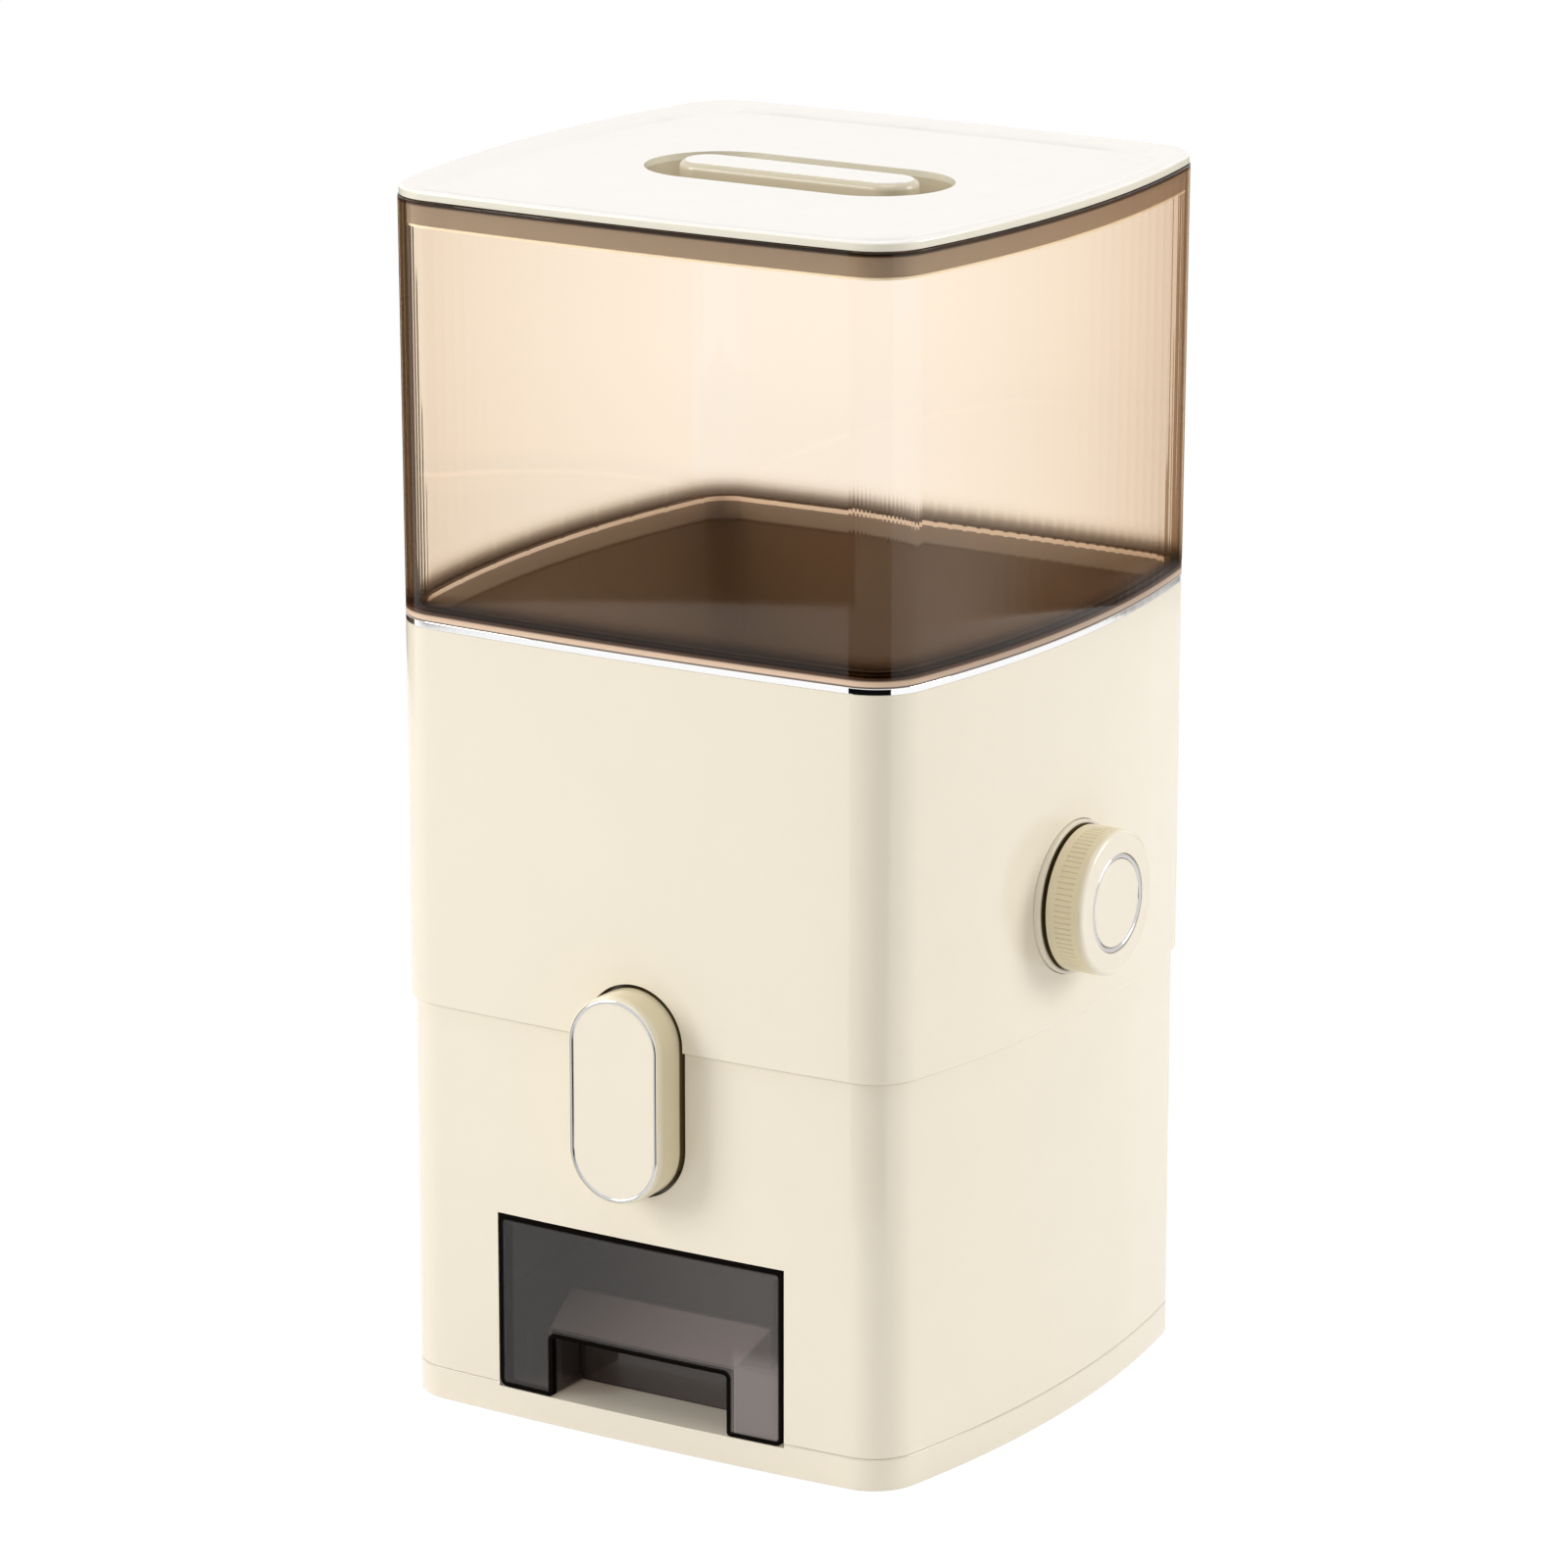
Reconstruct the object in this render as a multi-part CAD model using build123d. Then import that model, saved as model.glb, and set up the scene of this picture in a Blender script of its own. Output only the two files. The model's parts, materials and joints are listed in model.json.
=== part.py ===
"""A free-standing rice dispenser: a see-through bin over two stacked housings.

Rice runs down the funnel into a pocketed rotor that the side knob turns. The front
button slides a slotted shutter under the rotor, and the rice drops into the drawer.

Frame: millimetres, +Z up, origin at the centre of the base on the surface it stands
on. The front, with button and drawer, faces -Y and the knob is on the +X side.
"""

import os
from math import cos, radians, sin, sqrt

from build123d import *

# ---- Body plan: four bowed sides with rounded corners ----
body_width = 230.0  # across the middles of the left and right sides
body_depth = 221.2  # across the middles of the front and the back
front_bulge = 2.6  # rise of the front and back arcs
side_bulge = 9.4  # rise of the left and right arcs
corner_radius = 20.4

# ---- Heights of the stacked sections ----
base_height = 12.0
lower_height = 138.5
upper_height = 138.9
band_height = 2.5
bin_height = 150.6
seam_z = base_height + lower_height
band_z = seam_z + upper_height
bin_z = band_z + band_height
rim_z = bin_z + bin_height

# ---- Walls and clearances ----
housing_wall = 2.8
lower_step = 1.7  # the lower housing is set in by this much all round
flange_thickness = 2.5
lip_thickness = 2.0
lip_height = 5.0
seat_gap = 0.3  # between fixed mouldings that nest
slide_gap = 0.5  # round the drawer and the button
edge_round = 0.6  # outer edges of the housings and the base
shaft_play = 0.05  # radial, shaft in its bearings and screws in their holes

# ---- Base ----
deck_drop = 1.5  # base deck below the base rim
deck_thickness = 3.0
base_rib_thickness = 1.6
base_rib_depth = 5.0
base_rib_pitch = 45.0
foot_radius = 10.0
foot_thickness = 2.0
foot_pocket_depth = 1.0
foot_inset_x = 39.0
foot_inset_y = 36.0
deck_z = base_height - deck_drop

# ---- Drawer ----
drawer_width = 120.0
drawer_top_z = 76.3
drawer_length = 167.0
drawer_wall = 2.4
drawer_front_wall = 3.0
drawer_side_step = 1.5  # the box is this much narrower than its front, each side
drawer_side_drop = 4.0  # and this much lower
drawer_lift = 0.3  # bottom above the deck
notch_width = 74.0
notch_top_z = 33.5
notch_depth = 22.0
drawer_corner_round = 3.0  # lower corners of the front
drawer_box_round = 2.0  # lower long edges of the box behind it
notch_corner_round = 1.5
runner_thickness = 3.0
runner_height = 16.0
runner_foot = 8.0

# ---- Front button ----
button_width = 38.0
button_height = 76.3
button_drop = 17.35  # button centre below the seam
button_proud = 13.5  # in front of the upper housing
button_length = 23.0
button_wall = 2.2
button_travel = 9.5
button_mouth_gap = 1.3  # dark gap round the button
button_flange = 1.0  # stop flange beyond the mouth
button_flange_thickness = 2.5
trim_inset = 1.0
trim_width = 1.3
trim_depth = 1.4
stem_width = 16.0
stem_height = 12.0
stem_drop = 17.0  # stem centre below the button centre
spring_offset = 29.5
spring_radius = 5.0
spring_wire = 0.5
spring_turns = 5
guide_wall = 2.0
guide_bottom_gap = 2.0
guide_standoff = 1.5  # guide plate behind the front of the stop flange
button_z = seam_z - button_drop

# ---- Knob, shaft and metering rotor ----
shaft_rise = 44.8  # shaft axis above the seam
shaft_radius = 4.0
shaft_flat = 0.8
rotor_radius = 30.5
rotor_length = 90.0
rotor_cheek = 2.0
pocket_radius = 16.5
pocket_offset = 24.0
pocket_count = 4
wiper_thickness = 1.6
wiper_depth = 3.0  # of the wiper in the vane tip
wiper_reach = 1.6  # of the wiper beyond the vane tip
barrel_gap = 0.4  # wiper to barrel
barrel_wall = 2.6
end_gap = 0.6  # rotor end to barrel end
throat_depth = 45.0
bush_wall = 3.0
bush_flange = 2.4
bush_flange_thickness = 1.9
wheel_radius = 13.0
wheel_thickness = 5.0
wheel_gap = 1.5
notch_radius = 1.8
nose_gap = 0.3
clip_thickness = 0.9
clip_width = 2.6
collar_radius = 27.8
collar_proud = 1.6
collar_recess = 1.6
neck_radius = 14.0
neck_length = 9.5
nut_radius = 19.0
nut_thickness = 4.0
knob_pad = 4.2
knob_radius = 26.3
knob_length = 14.7
knob_gap = 1.2
knob_skin = 3.8
knob_hub_radius = 8.5
knob_web = 4.2
knob_rib_count = 80
knob_rib_depth = 0.35
knob_rib_width = 6.6
knob_rib_start = 3.8
knob_ring_radius = 18.0
knob_ring_width = 2.0
knob_ring_depth = 1.8
shaft_z = seam_z + shaft_rise

# ---- Shutter and outlet ----
slot_width = 9.0
slot_pitch = 19.0
slot_length = 84.0
shutter_thickness = 2.7
shutter_play = 0.3
shutter_overhang = 2.5
rail_width = 10.0
rail_reach = 32.0
grid_thickness = 3.0
grid_ridge = 6.0
keeper_thickness = 2.5
skirt_height = 22.0
skirt_wall = 2.0
chute_wall = 2.6
tab_thickness = 3.0
tongue_rib_height = 2.0
tongue_rib_width = 3.0

# ---- Funnel and bin ----
ledge_depth = 7.0  # ledge below the top of the upper housing
ledge_width = 5.0
funnel_lip_thickness = 2.2
funnel_lip_rise = 4.6  # lip above the foot of the bin
funnel_wall = 3.2
seal_thickness = 1.2
bin_wall = 3.0
bin_flare = 0.9  # each side, over the height of the bin
bin_foot_height = 4.1
spigot_thickness = 2.2
lug_width = 10.0
lug_height = 1.6
lug_depth = 1.0

# ---- Lid ----
lid_gap = 0.4
lid_edge = 3.3
lid_overhang = 0.4
lid_rim_width = 3.0
lid_slope_width = 9.0
lid_dip = 2.3  # the field of the lid below its rim
lid_thickness = 2.4
lid_round = 1.2
plug_depth = 10.3
plug_thickness = 2.2
gasket_thickness = 1.4
gasket_gap = 0.3
gasket_foot = 1.0
dish_length = 120.0
dish_width = 55.0
dish_depth = 11.6
dish_wall = 2.0
dish_flange = 9.0
dish_flange_drop = 4.5
grip_length = 96.0
grip_width = 22.0
grip_rise = 1.5  # above the field of the lid
grip_round = 2.5
lid_post_radius = 4.0

# ---- Screws ----
screw_radius = 1.5
screw_head_radius = 3.2
screw_head_height = 1.8
screw_length = 12.0
boss_radius = 5.5
boss_height = 34.0
post_radius = 4.0
small_screw_length = 7.0

# ---- Worked-out sizes ----
front_arc = ((body_width / 2 - corner_radius) ** 2 + front_bulge**2) / (2 * front_bulge) + corner_radius
side_arc = ((body_depth / 2 - corner_radius) ** 2 + side_bulge**2) / (2 * side_bulge) + corner_radius
lower_inner = lower_step + housing_wall
screw_hole = screw_radius + shaft_play
barrel_inner = rotor_radius + wiper_reach + barrel_gap
barrel_outer = barrel_inner + barrel_wall
barrel_half = rotor_length / 2 + end_gap
barrel_end = barrel_half + barrel_wall
bush_radius = shaft_radius + bush_wall
ledge_z = band_z - ledge_depth
flange_top_z = ledge_z + flange_thickness
spigot_z = flange_top_z + seal_thickness
spigot_outer = housing_wall + seat_gap
spigot_inner = spigot_outer + spigot_thickness
funnel_outer = spigot_inner + seat_gap
funnel_inner = funnel_outer + funnel_lip_thickness
stem_z = button_z - stem_drop
shutter_z = stem_z - stem_height / 2
shutter_top_z = shutter_z + shutter_thickness
grid_z = shutter_top_z + shutter_play
keeper_top_z = shutter_z - shutter_play
shutter_half = rotor_length / 2
grid_half_y = (slot_pitch + slot_width) / 2
wall_y = -body_depth / 2
wall_x = body_width / 2
button_y = wall_y - button_proud
button_back_y = button_y + button_length
button_flange_y = wall_y + lower_inner + seat_gap
guide_front_y = button_flange_y + guide_standoff
guide_floor_y = button_back_y + button_travel + guide_bottom_gap
guide_back_y = guide_floor_y + guide_wall
seat_x = wall_x - collar_recess
collar_face_x = wall_x + collar_proud
knob_back_x = collar_face_x + knob_gap
knob_front_x = knob_back_x + knob_length
web_back_x = knob_front_x - knob_ring_depth - knob_web
shaft_end_x = web_back_x - shaft_play
wheel_x = -(barrel_end + bush_flange_thickness + wheel_gap)
clip_x = wheel_x - wheel_thickness - seat_gap
shaft_start_x = clip_x - clip_thickness - lip_thickness
lid_z = rim_z + lid_gap
lid_top_z = lid_z + lid_edge
field_z = lid_top_z - lid_dip
field_under_z = field_z - lid_thickness
dish_floor_z = field_under_z - dish_depth
dish_flange_z = field_under_z - dish_flange_drop
plug_z = lid_z - plug_depth
plug_outer = bin_wall - bin_flare + gasket_gap + gasket_thickness


# ---- Shared shapes ----
def bowed(width, depth, arc_x, arc_y, radius, inset=0.0):
    """A rectangle with bowed sides and rounded corners, moved in by inset."""
    front = Pos(0, arc_x - depth / 2) * Circle(arc_x - inset)
    back = Pos(0, depth / 2 - arc_x) * Circle(arc_x - inset)
    right = Pos(width / 2 - arc_y, 0) * Circle(arc_y - inset)
    left = Pos(arc_y - width / 2, 0) * Circle(arc_y - inset)
    sharp = front & back & right & left
    return fillet(sharp.vertices(), radius - inset)


def plan(inset=0.0):
    return bowed(body_width, body_depth, front_arc, side_arc, corner_radius, inset)


def prism(inset, z0, z1):
    return extrude(Pos(0, 0, z0) * plan(inset), amount=z1 - z0)


def rounded_prism(inset, z0, z1, top=True):
    """A prism with its outer edge rounded at the foot, and at the top if asked."""
    body = prism(inset, z0, z1)
    faces = body.faces().sort_by(Axis.Z)
    edges = faces[0].edges() + (faces[-1].edges() if top else [])
    return fillet(edges, edge_round)


def ring(outer_inset, inner_inset, z0, z1):
    return prism(outer_inset, z0, z1) - prism(inner_inset, z0, z1)


def front_y(x, inset=0.0):
    """Y of the front wall at x, set in from the outer face."""
    return wall_y + front_arc - sqrt((front_arc - inset) ** 2 - x**2)


def side_x(y, inset=0.0):
    """X of the right wall at y, set in from the outer face."""
    return wall_x - side_arc + sqrt((side_arc - inset) ** 2 - y**2)


def corner_centre():
    """Centre of the front right corner arc."""
    front = Pos(0, front_arc - body_depth / 2) * Circle(front_arc - corner_radius)
    right = Pos(body_width / 2 - side_arc, 0) * Circle(side_arc - corner_radius)
    back = Pos(0, body_depth / 2 - front_arc) * Circle(front_arc - corner_radius)
    left = Pos(side_arc - body_width / 2, 0) * Circle(side_arc - corner_radius)
    points = (front & right & back & left).vertices()
    return max(p.X for p in points), max(p.Y for p in points)


def block(x0, x1, y0, y1, z0, z1):
    return Pos((x0 + x1) / 2, (y0 + y1) / 2, (z0 + z1) / 2) * Box(x1 - x0, y1 - y0, z1 - z0)


def rod_x(radius, x0, x1, y=0.0, z=shaft_z):
    return Pos((x0 + x1) / 2, y, z) * Rot(0, 90, 0) * Cylinder(radius, x1 - x0)


def rod_y(radius, y0, y1, x, z):
    return Pos(x, (y0 + y1) / 2, z) * Rot(90, 0, 0) * Cylinder(radius, y1 - y0)


def rod_z(radius, z0, z1, x, y):
    return Pos(x, y, (z0 + z1) / 2) * Cylinder(radius, z1 - z0)


def upright_slot(y0, y1, grow=0.0):
    """The button's full-round outline, grown all round, between two depths."""
    outline = SlotOverall(button_height + 2 * grow, button_width + 2 * grow, rotation=90)
    return Pos(0, y1, button_z) * Rot(90, 0, 0) * extrude(outline, amount=y1 - y0)


def flat_slot(length, width, z0, z1):
    return extrude(Pos(0, 0, z0) * SlotOverall(length, width), amount=z1 - z0)


def corners(x, y):
    return [(x, y), (-x, y), (-x, -y), (x, -y)]


def screw(length=screw_length):
    """Pan-head screw: seat at the origin, head upwards, shank downwards."""
    head = Pos(0, 0, screw_head_height / 2) * Cylinder(screw_head_radius, screw_head_height)
    return head + Pos(0, 0, -length / 2) * Cylinder(screw_radius, length)


def screws_up(points, z, length=screw_length):
    """Screws whose heads sit under z, pointing up."""
    return Compound([Pos(x, y, z) * Rot(180, 0, 0) * screw(length) for x, y in points])


def screws_down(points, z, length=screw_length):
    return Compound([Pos(x, y, z) * screw(length) for x, y in points])


# ---- Where the screws go ----
corner_x, corner_y = corner_centre()
boss_shift = (corner_radius - lower_inner - boss_radius + 1.0) * cos(radians(45))
base_points = corners(corner_x + boss_shift, corner_y + boss_shift)
foot_points = corners(wall_x - foot_inset_x, -wall_y - foot_inset_y)
seam_y = body_depth / 4
seam_x = side_x(seam_y, lower_inner) - screw_head_radius - seat_gap
seam_boss_radius = side_x(seam_y, housing_wall) - seam_x + 1
seam_points = corners(seam_x, seam_y)
guide_x = button_width / 2 + guide_wall + button_mouth_gap + button_flange + post_radius
guide_dz = button_height / 2 - post_radius
runner_x = drawer_width / 2 - drawer_side_step + slide_gap
runner_points = corners(runner_x + runner_thickness + runner_foot / 2, drawer_length / 4)
barrel_points = corners(barrel_half - boss_radius, barrel_outer + boss_radius)
keeper_points = corners(shutter_half + seat_gap + rail_width / 2 + seat_gap, rail_reach - post_radius)
dish_points = corners(dish_length / 2 - post_radius, dish_width / 2 + dish_flange / 2)
grip_points = [(-grip_length / 4, 0), (grip_length / 4, 0)]


# ---- Base ----
def base_plate():
    body = rounded_prism(lower_step, 0, base_height)
    body -= prism(lower_inner, deck_z, base_height)
    under_z = deck_z - deck_thickness
    body -= prism(lower_inner, 0, under_z)
    rib_z = under_z - base_rib_depth
    ribs = []
    for place in (-base_rib_pitch, 0, base_rib_pitch):
        half = base_rib_thickness / 2
        ribs.append(block(place - half, place + half, wall_y, -wall_y, rib_z, under_z))
        ribs.append(block(-wall_x, wall_x, place - half, place + half, rib_z, under_z))
    web = ribs[0].fuse(*ribs[1:]) & prism(lower_step + housing_wall / 2, rib_z, under_z)
    body += web
    for x, y in foot_points:
        body += rod_z(foot_radius + lip_thickness, foot_pocket_depth, under_z, x, y)
        body -= rod_z(foot_radius + shaft_play, 0, foot_thickness, x, y)
    lip_outer = lower_inner + seat_gap
    lip = ring(lip_outer, lip_outer + lip_thickness, deck_z, base_height + lip_height)
    for x, y in base_points:
        lip -= rod_z(boss_radius + seat_gap, deck_z, base_height + lip_height, x, y)
    body += lip
    for x, y in base_points:
        body += rod_z(boss_radius, under_z - base_rib_depth, base_height, x, y)
        body -= rod_z(screw_hole, 0, base_height, x, y)
        body -= rod_z(screw_head_radius + seat_gap, 0, under_z - lip_thickness, x, y)
    half = drawer_width / 2 + slide_gap
    body -= block(-half, half, wall_y, wall_y + corner_radius, deck_z, base_height + lip_height)
    for x, y in runner_points:
        body -= rod_z(screw_hole, under_z - base_rib_depth, deck_z, x, y)
    return body


def foot_pads():
    pads = []
    for x, y in foot_points:
        pad = rod_z(foot_radius, 0, foot_thickness, x, y)
        pads.append(chamfer(pad.edges().sort_by(Axis.Z)[:1], seat_gap))
    return Compound(pads)


def base_screws():
    return screws_up(base_points, deck_z - deck_thickness - lip_thickness)


def drawer_guide():
    """U-shaped runner: two sides with screwed feet, and the rear stop."""
    y0 = wall_y + corner_radius + lip_thickness
    y1 = wall_y + lower_step + drawer_length + slide_gap
    outer = runner_x + runner_thickness
    top_z = deck_z + runner_height
    body = block(-outer, outer, y0, y1 + runner_thickness, deck_z, top_z)
    body -= block(-runner_x, runner_x, y0, y1, deck_z, top_z)
    for x, y in runner_points:
        side = 1 if x > 0 else -1
        near, far = sorted((side * (outer - seat_gap), side * (outer + runner_foot)))
        foot = block(near, far, y - runner_foot, y + runner_foot, deck_z, deck_z + lip_thickness)
        body += foot
        body -= rod_z(screw_hole, deck_z, deck_z + lip_thickness, x, y)
    return body


def guide_screws():
    return screws_down(runner_points, deck_z + lip_thickness, deck_thickness + lip_thickness + 1)


# ---- Lower housing ----
def button_mouth():
    """The opening for the button, through either housing."""
    return upright_slot(wall_y - 1, wall_y + corner_radius, button_mouth_gap)


def guide_posts(z):
    """Two posts behind the front wall that carry the button guide."""
    posts = []
    for x in (-guide_x, guide_x):
        posts.append(rod_y(post_radius, wall_y + housing_wall, guide_front_y, x, z))
    return posts


def lower_housing():
    body = rounded_prism(lower_step, base_height, seam_z, top=False)
    body -= prism(lower_inner, base_height, seam_z - flange_thickness)
    for x, y in base_points:
        body += rod_z(boss_radius, base_height, base_height + boss_height, x, y)
    lip_outer = housing_wall + seat_gap
    lip = ring(lip_outer, lip_outer + lip_thickness, seam_z - seat_gap, seam_z + lip_height)
    for x, y in seam_points:
        lip -= rod_z(seam_boss_radius + seat_gap, seam_z, seam_z + lip_height, x, y)
    body += lip
    open_x = barrel_end + boss_radius
    open_y = barrel_outer + 3 * boss_radius
    body -= block(-open_x, open_x, -open_y, open_y, seam_z - flange_thickness, seam_z)
    notch_x = guide_x + post_radius + lip_thickness
    notch_y = wall_y + lower_inner
    body -= block(-notch_x, notch_x, notch_y, -open_y + 1, seam_z - flange_thickness, seam_z + lip_height)
    for post in guide_posts(button_z - guide_dz):
        body += post
    for x in (-guide_x, guide_x):
        z = button_z - guide_dz
        body -= rod_y(screw_hole, guide_front_y - small_screw_length / 2, guide_front_y, x, z)
    body -= button_mouth()
    half = drawer_width / 2 + slide_gap
    body -= block(-half, half, wall_y, wall_y + corner_radius, base_height, drawer_top_z + slide_gap)
    for x, y in base_points:
        body -= rod_z(screw_hole, base_height, base_height + screw_length, x, y)
    for x, y in seam_points:
        body -= rod_z(screw_hole, seam_z - flange_thickness, seam_z, x, y)
    return body


def seam_screws():
    return screws_up(seam_points, seam_z - flange_thickness)


# ---- Upper housing ----
def upper_housing():
    body = rounded_prism(0, seam_z, band_z, top=False)
    body -= prism(housing_wall, seam_z, ledge_z - flange_thickness)
    body -= prism(housing_wall + ledge_width, ledge_z - flange_thickness, ledge_z)
    body -= prism(housing_wall, ledge_z, band_z)
    for x, y in seam_points:
        body += rod_z(seam_boss_radius, seam_z, seam_z + boss_height, x, y)
        body -= rod_z(screw_hole, seam_z, seam_z + screw_length, x, y)
    for post in guide_posts(button_z + guide_dz):
        body += post
    for x in (-guide_x, guide_x):
        z = button_z + guide_dz
        body -= rod_y(screw_hole, guide_front_y - small_screw_length / 2, guide_front_y, x, z)
    body -= button_mouth()
    body += rod_x(collar_radius, seat_x - knob_pad, seat_x)
    body -= rod_x(collar_radius + seat_gap, seat_x, wall_x + 1)
    body -= rod_x(neck_radius + seat_gap / 2, seat_x - knob_pad, wall_x)
    for window in snap_lugs(seat_gap):
        body -= window
    return body


def snap_lugs(grow=0.0):
    """Four lugs on the foot of the bin, one at the middle of each side."""
    z0 = spigot_z + seat_gap
    half = lug_width / 2 + grow
    lugs = []
    for side in (-1, 1):
        near = side * (wall_x - spigot_outer - lug_depth / 2)
        far = side * (wall_x - spigot_outer + lug_depth + grow)
        x0, x1 = sorted((near, far))
        lugs.append(block(x0, x1, -half, half, z0 - grow, z0 + lug_height + grow))
        near = side * (-wall_y - spigot_outer - lug_depth / 2)
        far = side * (-wall_y - spigot_outer + lug_depth + grow)
        y0, y1 = sorted((near, far))
        lugs.append(block(-half, half, y0, y1, z0 - grow, z0 + lug_height + grow))
    return lugs


def chrome_band():
    band = ring(0, housing_wall, band_z, bin_z)
    return chamfer(band.faces().sort_by(Axis.Z)[-1].outer_wire().edges(), seat_gap)


# ---- Funnel and metering barrel ----
def throat(grow, inset=0.0):
    """The nearly square neck of the funnel, bowed so that it matches the body plan."""
    width = 2 * barrel_half - lip_thickness + 2 * grow
    depth = throat_depth + 2 * grow
    return bowed(width, depth, front_arc, front_arc, corner_radius / 4 + grow, inset)


def barrel_half_shell(side):
    """One half of the barrel: side is 1 above the shaft and -1 below it."""
    shell = rod_x(barrel_outer, -barrel_end, barrel_end)
    ear_y = barrel_outer + 2 * boss_radius
    z0, z1 = sorted((shaft_z, shaft_z + side * (flange_thickness + 0.5)))
    shell += block(-barrel_end, barrel_end, -ear_y, ear_y, z0, z1)
    low, high = sorted((shaft_z, shaft_z + side * 2 * barrel_outer))
    keep = block(-body_width, body_width, -body_depth, body_depth, low, high)
    shell = shell & keep
    for x, y in barrel_points:
        shell -= rod_z(screw_hole, z0, z1, x, y)
    return shell


def barrel_cavity():
    hollow = rod_x(barrel_inner, -barrel_half, barrel_half)
    return hollow + rod_x(bush_radius + shaft_play, -barrel_end, barrel_end)


def hopper_funnel():
    lip_top_z = bin_z + funnel_lip_rise
    neck_z = shaft_z + sqrt(barrel_inner**2 - (throat_depth / 2) ** 2) - 1
    mouth_z = flange_top_z + funnel_lip_thickness
    body = prism(funnel_outer, ledge_z, lip_top_z)
    body += prism(housing_wall + seat_gap, ledge_z, flange_top_z)
    clear = housing_wall + ledge_width + seat_gap
    body += loft([Pos(0, 0, ledge_z) * plan(clear), Pos(0, 0, neck_z) * throat(funnel_wall)], ruled=True)
    body += barrel_half_shell(1)
    body -= prism(funnel_inner, mouth_z, lip_top_z)
    body -= loft([Pos(0, 0, mouth_z) * plan(funnel_inner), Pos(0, 0, neck_z) * throat(0)], ruled=True)
    return body - barrel_cavity()


def side_profile(points, half):
    """A shape drawn in the YZ plane and pushed both ways along X."""
    face = make_face(Polyline([(y, z) for y, z in points], close=True))
    return extrude(Plane.YZ * face, amount=half, both=True)


def metering_trough():
    body = barrel_half_shell(-1)
    top_z = shaft_z - sqrt(barrel_inner**2 - (throat_depth / 2) ** 2) + 1
    floor_z = grid_z + grid_thickness
    half_in, half_low = throat_depth / 2, grid_half_y
    half_out, half_base = half_in + chute_wall, half_low + chute_wall
    rail_x0 = shutter_half + seat_gap
    body += side_profile([(-half_out, top_z), (half_out, top_z), (half_base, grid_z), (-half_base, grid_z)], barrel_end)
    rail_x1 = rail_x0 + rail_width
    for x0, x1 in ((rail_x0, rail_x1), (-rail_x1, -rail_x0)):
        body += block(x0, x1, -rail_reach, rail_reach, keeper_top_z, floor_z)
    post_y = barrel_inner / sqrt(2)
    post_x = -(barrel_end + bush_flange_thickness + wheel_gap + wheel_thickness)
    strip_z = shaft_z - wheel_radius - notch_radius
    body += block(post_x, -barrel_half - 1, post_y - 3, post_y + 3, strip_z - 7, strip_z)
    body -= side_profile([(-half_in, top_z), (half_in, top_z), (half_low, floor_z), (-half_low, floor_z)], barrel_half)
    ridge = slot_pitch / 2 - slot_width / 2
    body += side_profile([(-ridge, floor_z), (ridge, floor_z), (0, floor_z + grid_ridge)], barrel_half)
    for y in (-slot_pitch / 2, slot_pitch / 2):
        body -= block(-slot_length / 2, slot_length / 2, y - slot_width / 2, y + slot_width / 2, grid_z, floor_z)
    for x, y in keeper_points:
        body -= rod_z(screw_hole, keeper_top_z, floor_z, x, y)
    x = wheel_x - wheel_thickness / 2
    body -= rod_z(screw_hole, strip_z - 5, strip_z, x, post_y)
    return body - barrel_cavity()


def barrel_screws():
    return screws_down(barrel_points, shaft_z + flange_thickness + 0.5, 2 * flange_thickness + 2)


def shaft_bushes():
    bushes = []
    for side in (-1, 1):
        x0, x1 = sorted((side * (barrel_half + shaft_play), side * barrel_end))
        f0, f1 = sorted((side * barrel_end, side * (barrel_end + bush_flange_thickness)))
        bush = rod_x(bush_radius, x0, x1) + rod_x(bush_radius + bush_flange, f0, f1)
        bushes.append(bush - rod_x(shaft_radius + shaft_play, min(x0, f0), max(x1, f1)))
    return Compound(bushes)


# ---- Shutter ----
def shutter_gate():
    """Slotted slide with a tongue to the button: its slots line up when pressed."""
    y0 = -grid_half_y - button_travel - shutter_overhang - grid_ridge
    y1 = grid_half_y + shutter_overhang
    tab_y = guide_back_y + seat_gap
    half = shutter_half - seat_gap
    body = block(-half, half, y0, y1, shutter_z, shutter_top_z)
    for y in (-slot_pitch / 2, slot_pitch / 2):
        mid = y - button_travel
        body -= block(-slot_length / 2, slot_length / 2, mid - slot_width / 2, mid + slot_width / 2, shutter_z, shutter_top_z)
    body += block(-stem_width / 2, stem_width / 2, tab_y, y0, shutter_z, shutter_top_z)
    body += block(-stem_width / 2, stem_width / 2, tab_y, tab_y + tab_thickness, shutter_z, shutter_z + stem_height)
    rib = tongue_rib_width / 2
    body += block(-rib, rib, tab_y, y0, shutter_top_z, shutter_top_z + tongue_rib_height)
    return body - rod_y(screw_hole, tab_y, tab_y + tab_thickness, 0, shutter_z + stem_height * 0.7)


def gate_screw():
    place = Pos(0, guide_back_y + seat_gap + tab_thickness, shutter_z + stem_height * 0.7)
    return place * Rot(-90, 0, 0) * screw(small_screw_length + tab_thickness)


def shutter_keeper():
    """Slotted plate under the shutter with a skirt that guides the falling rice."""
    half_x = shutter_half + seat_gap + rail_width
    z0 = keeper_top_z - keeper_thickness
    open_x, open_y = slot_length / 2 + 1, grid_half_y + 1
    body = block(-half_x, half_x, -rail_reach, rail_reach, z0, keeper_top_z)
    wall_in = skirt_wall
    body += block(-open_x - wall_in, open_x + wall_in, -open_y - wall_in, open_y + wall_in, z0 - skirt_height, z0)
    body -= block(-open_x, open_x, -open_y, open_y, z0 - skirt_height, keeper_top_z)
    for x, y in keeper_points:
        body -= rod_z(screw_hole, z0, keeper_top_z, x, y)
    return body


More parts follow.
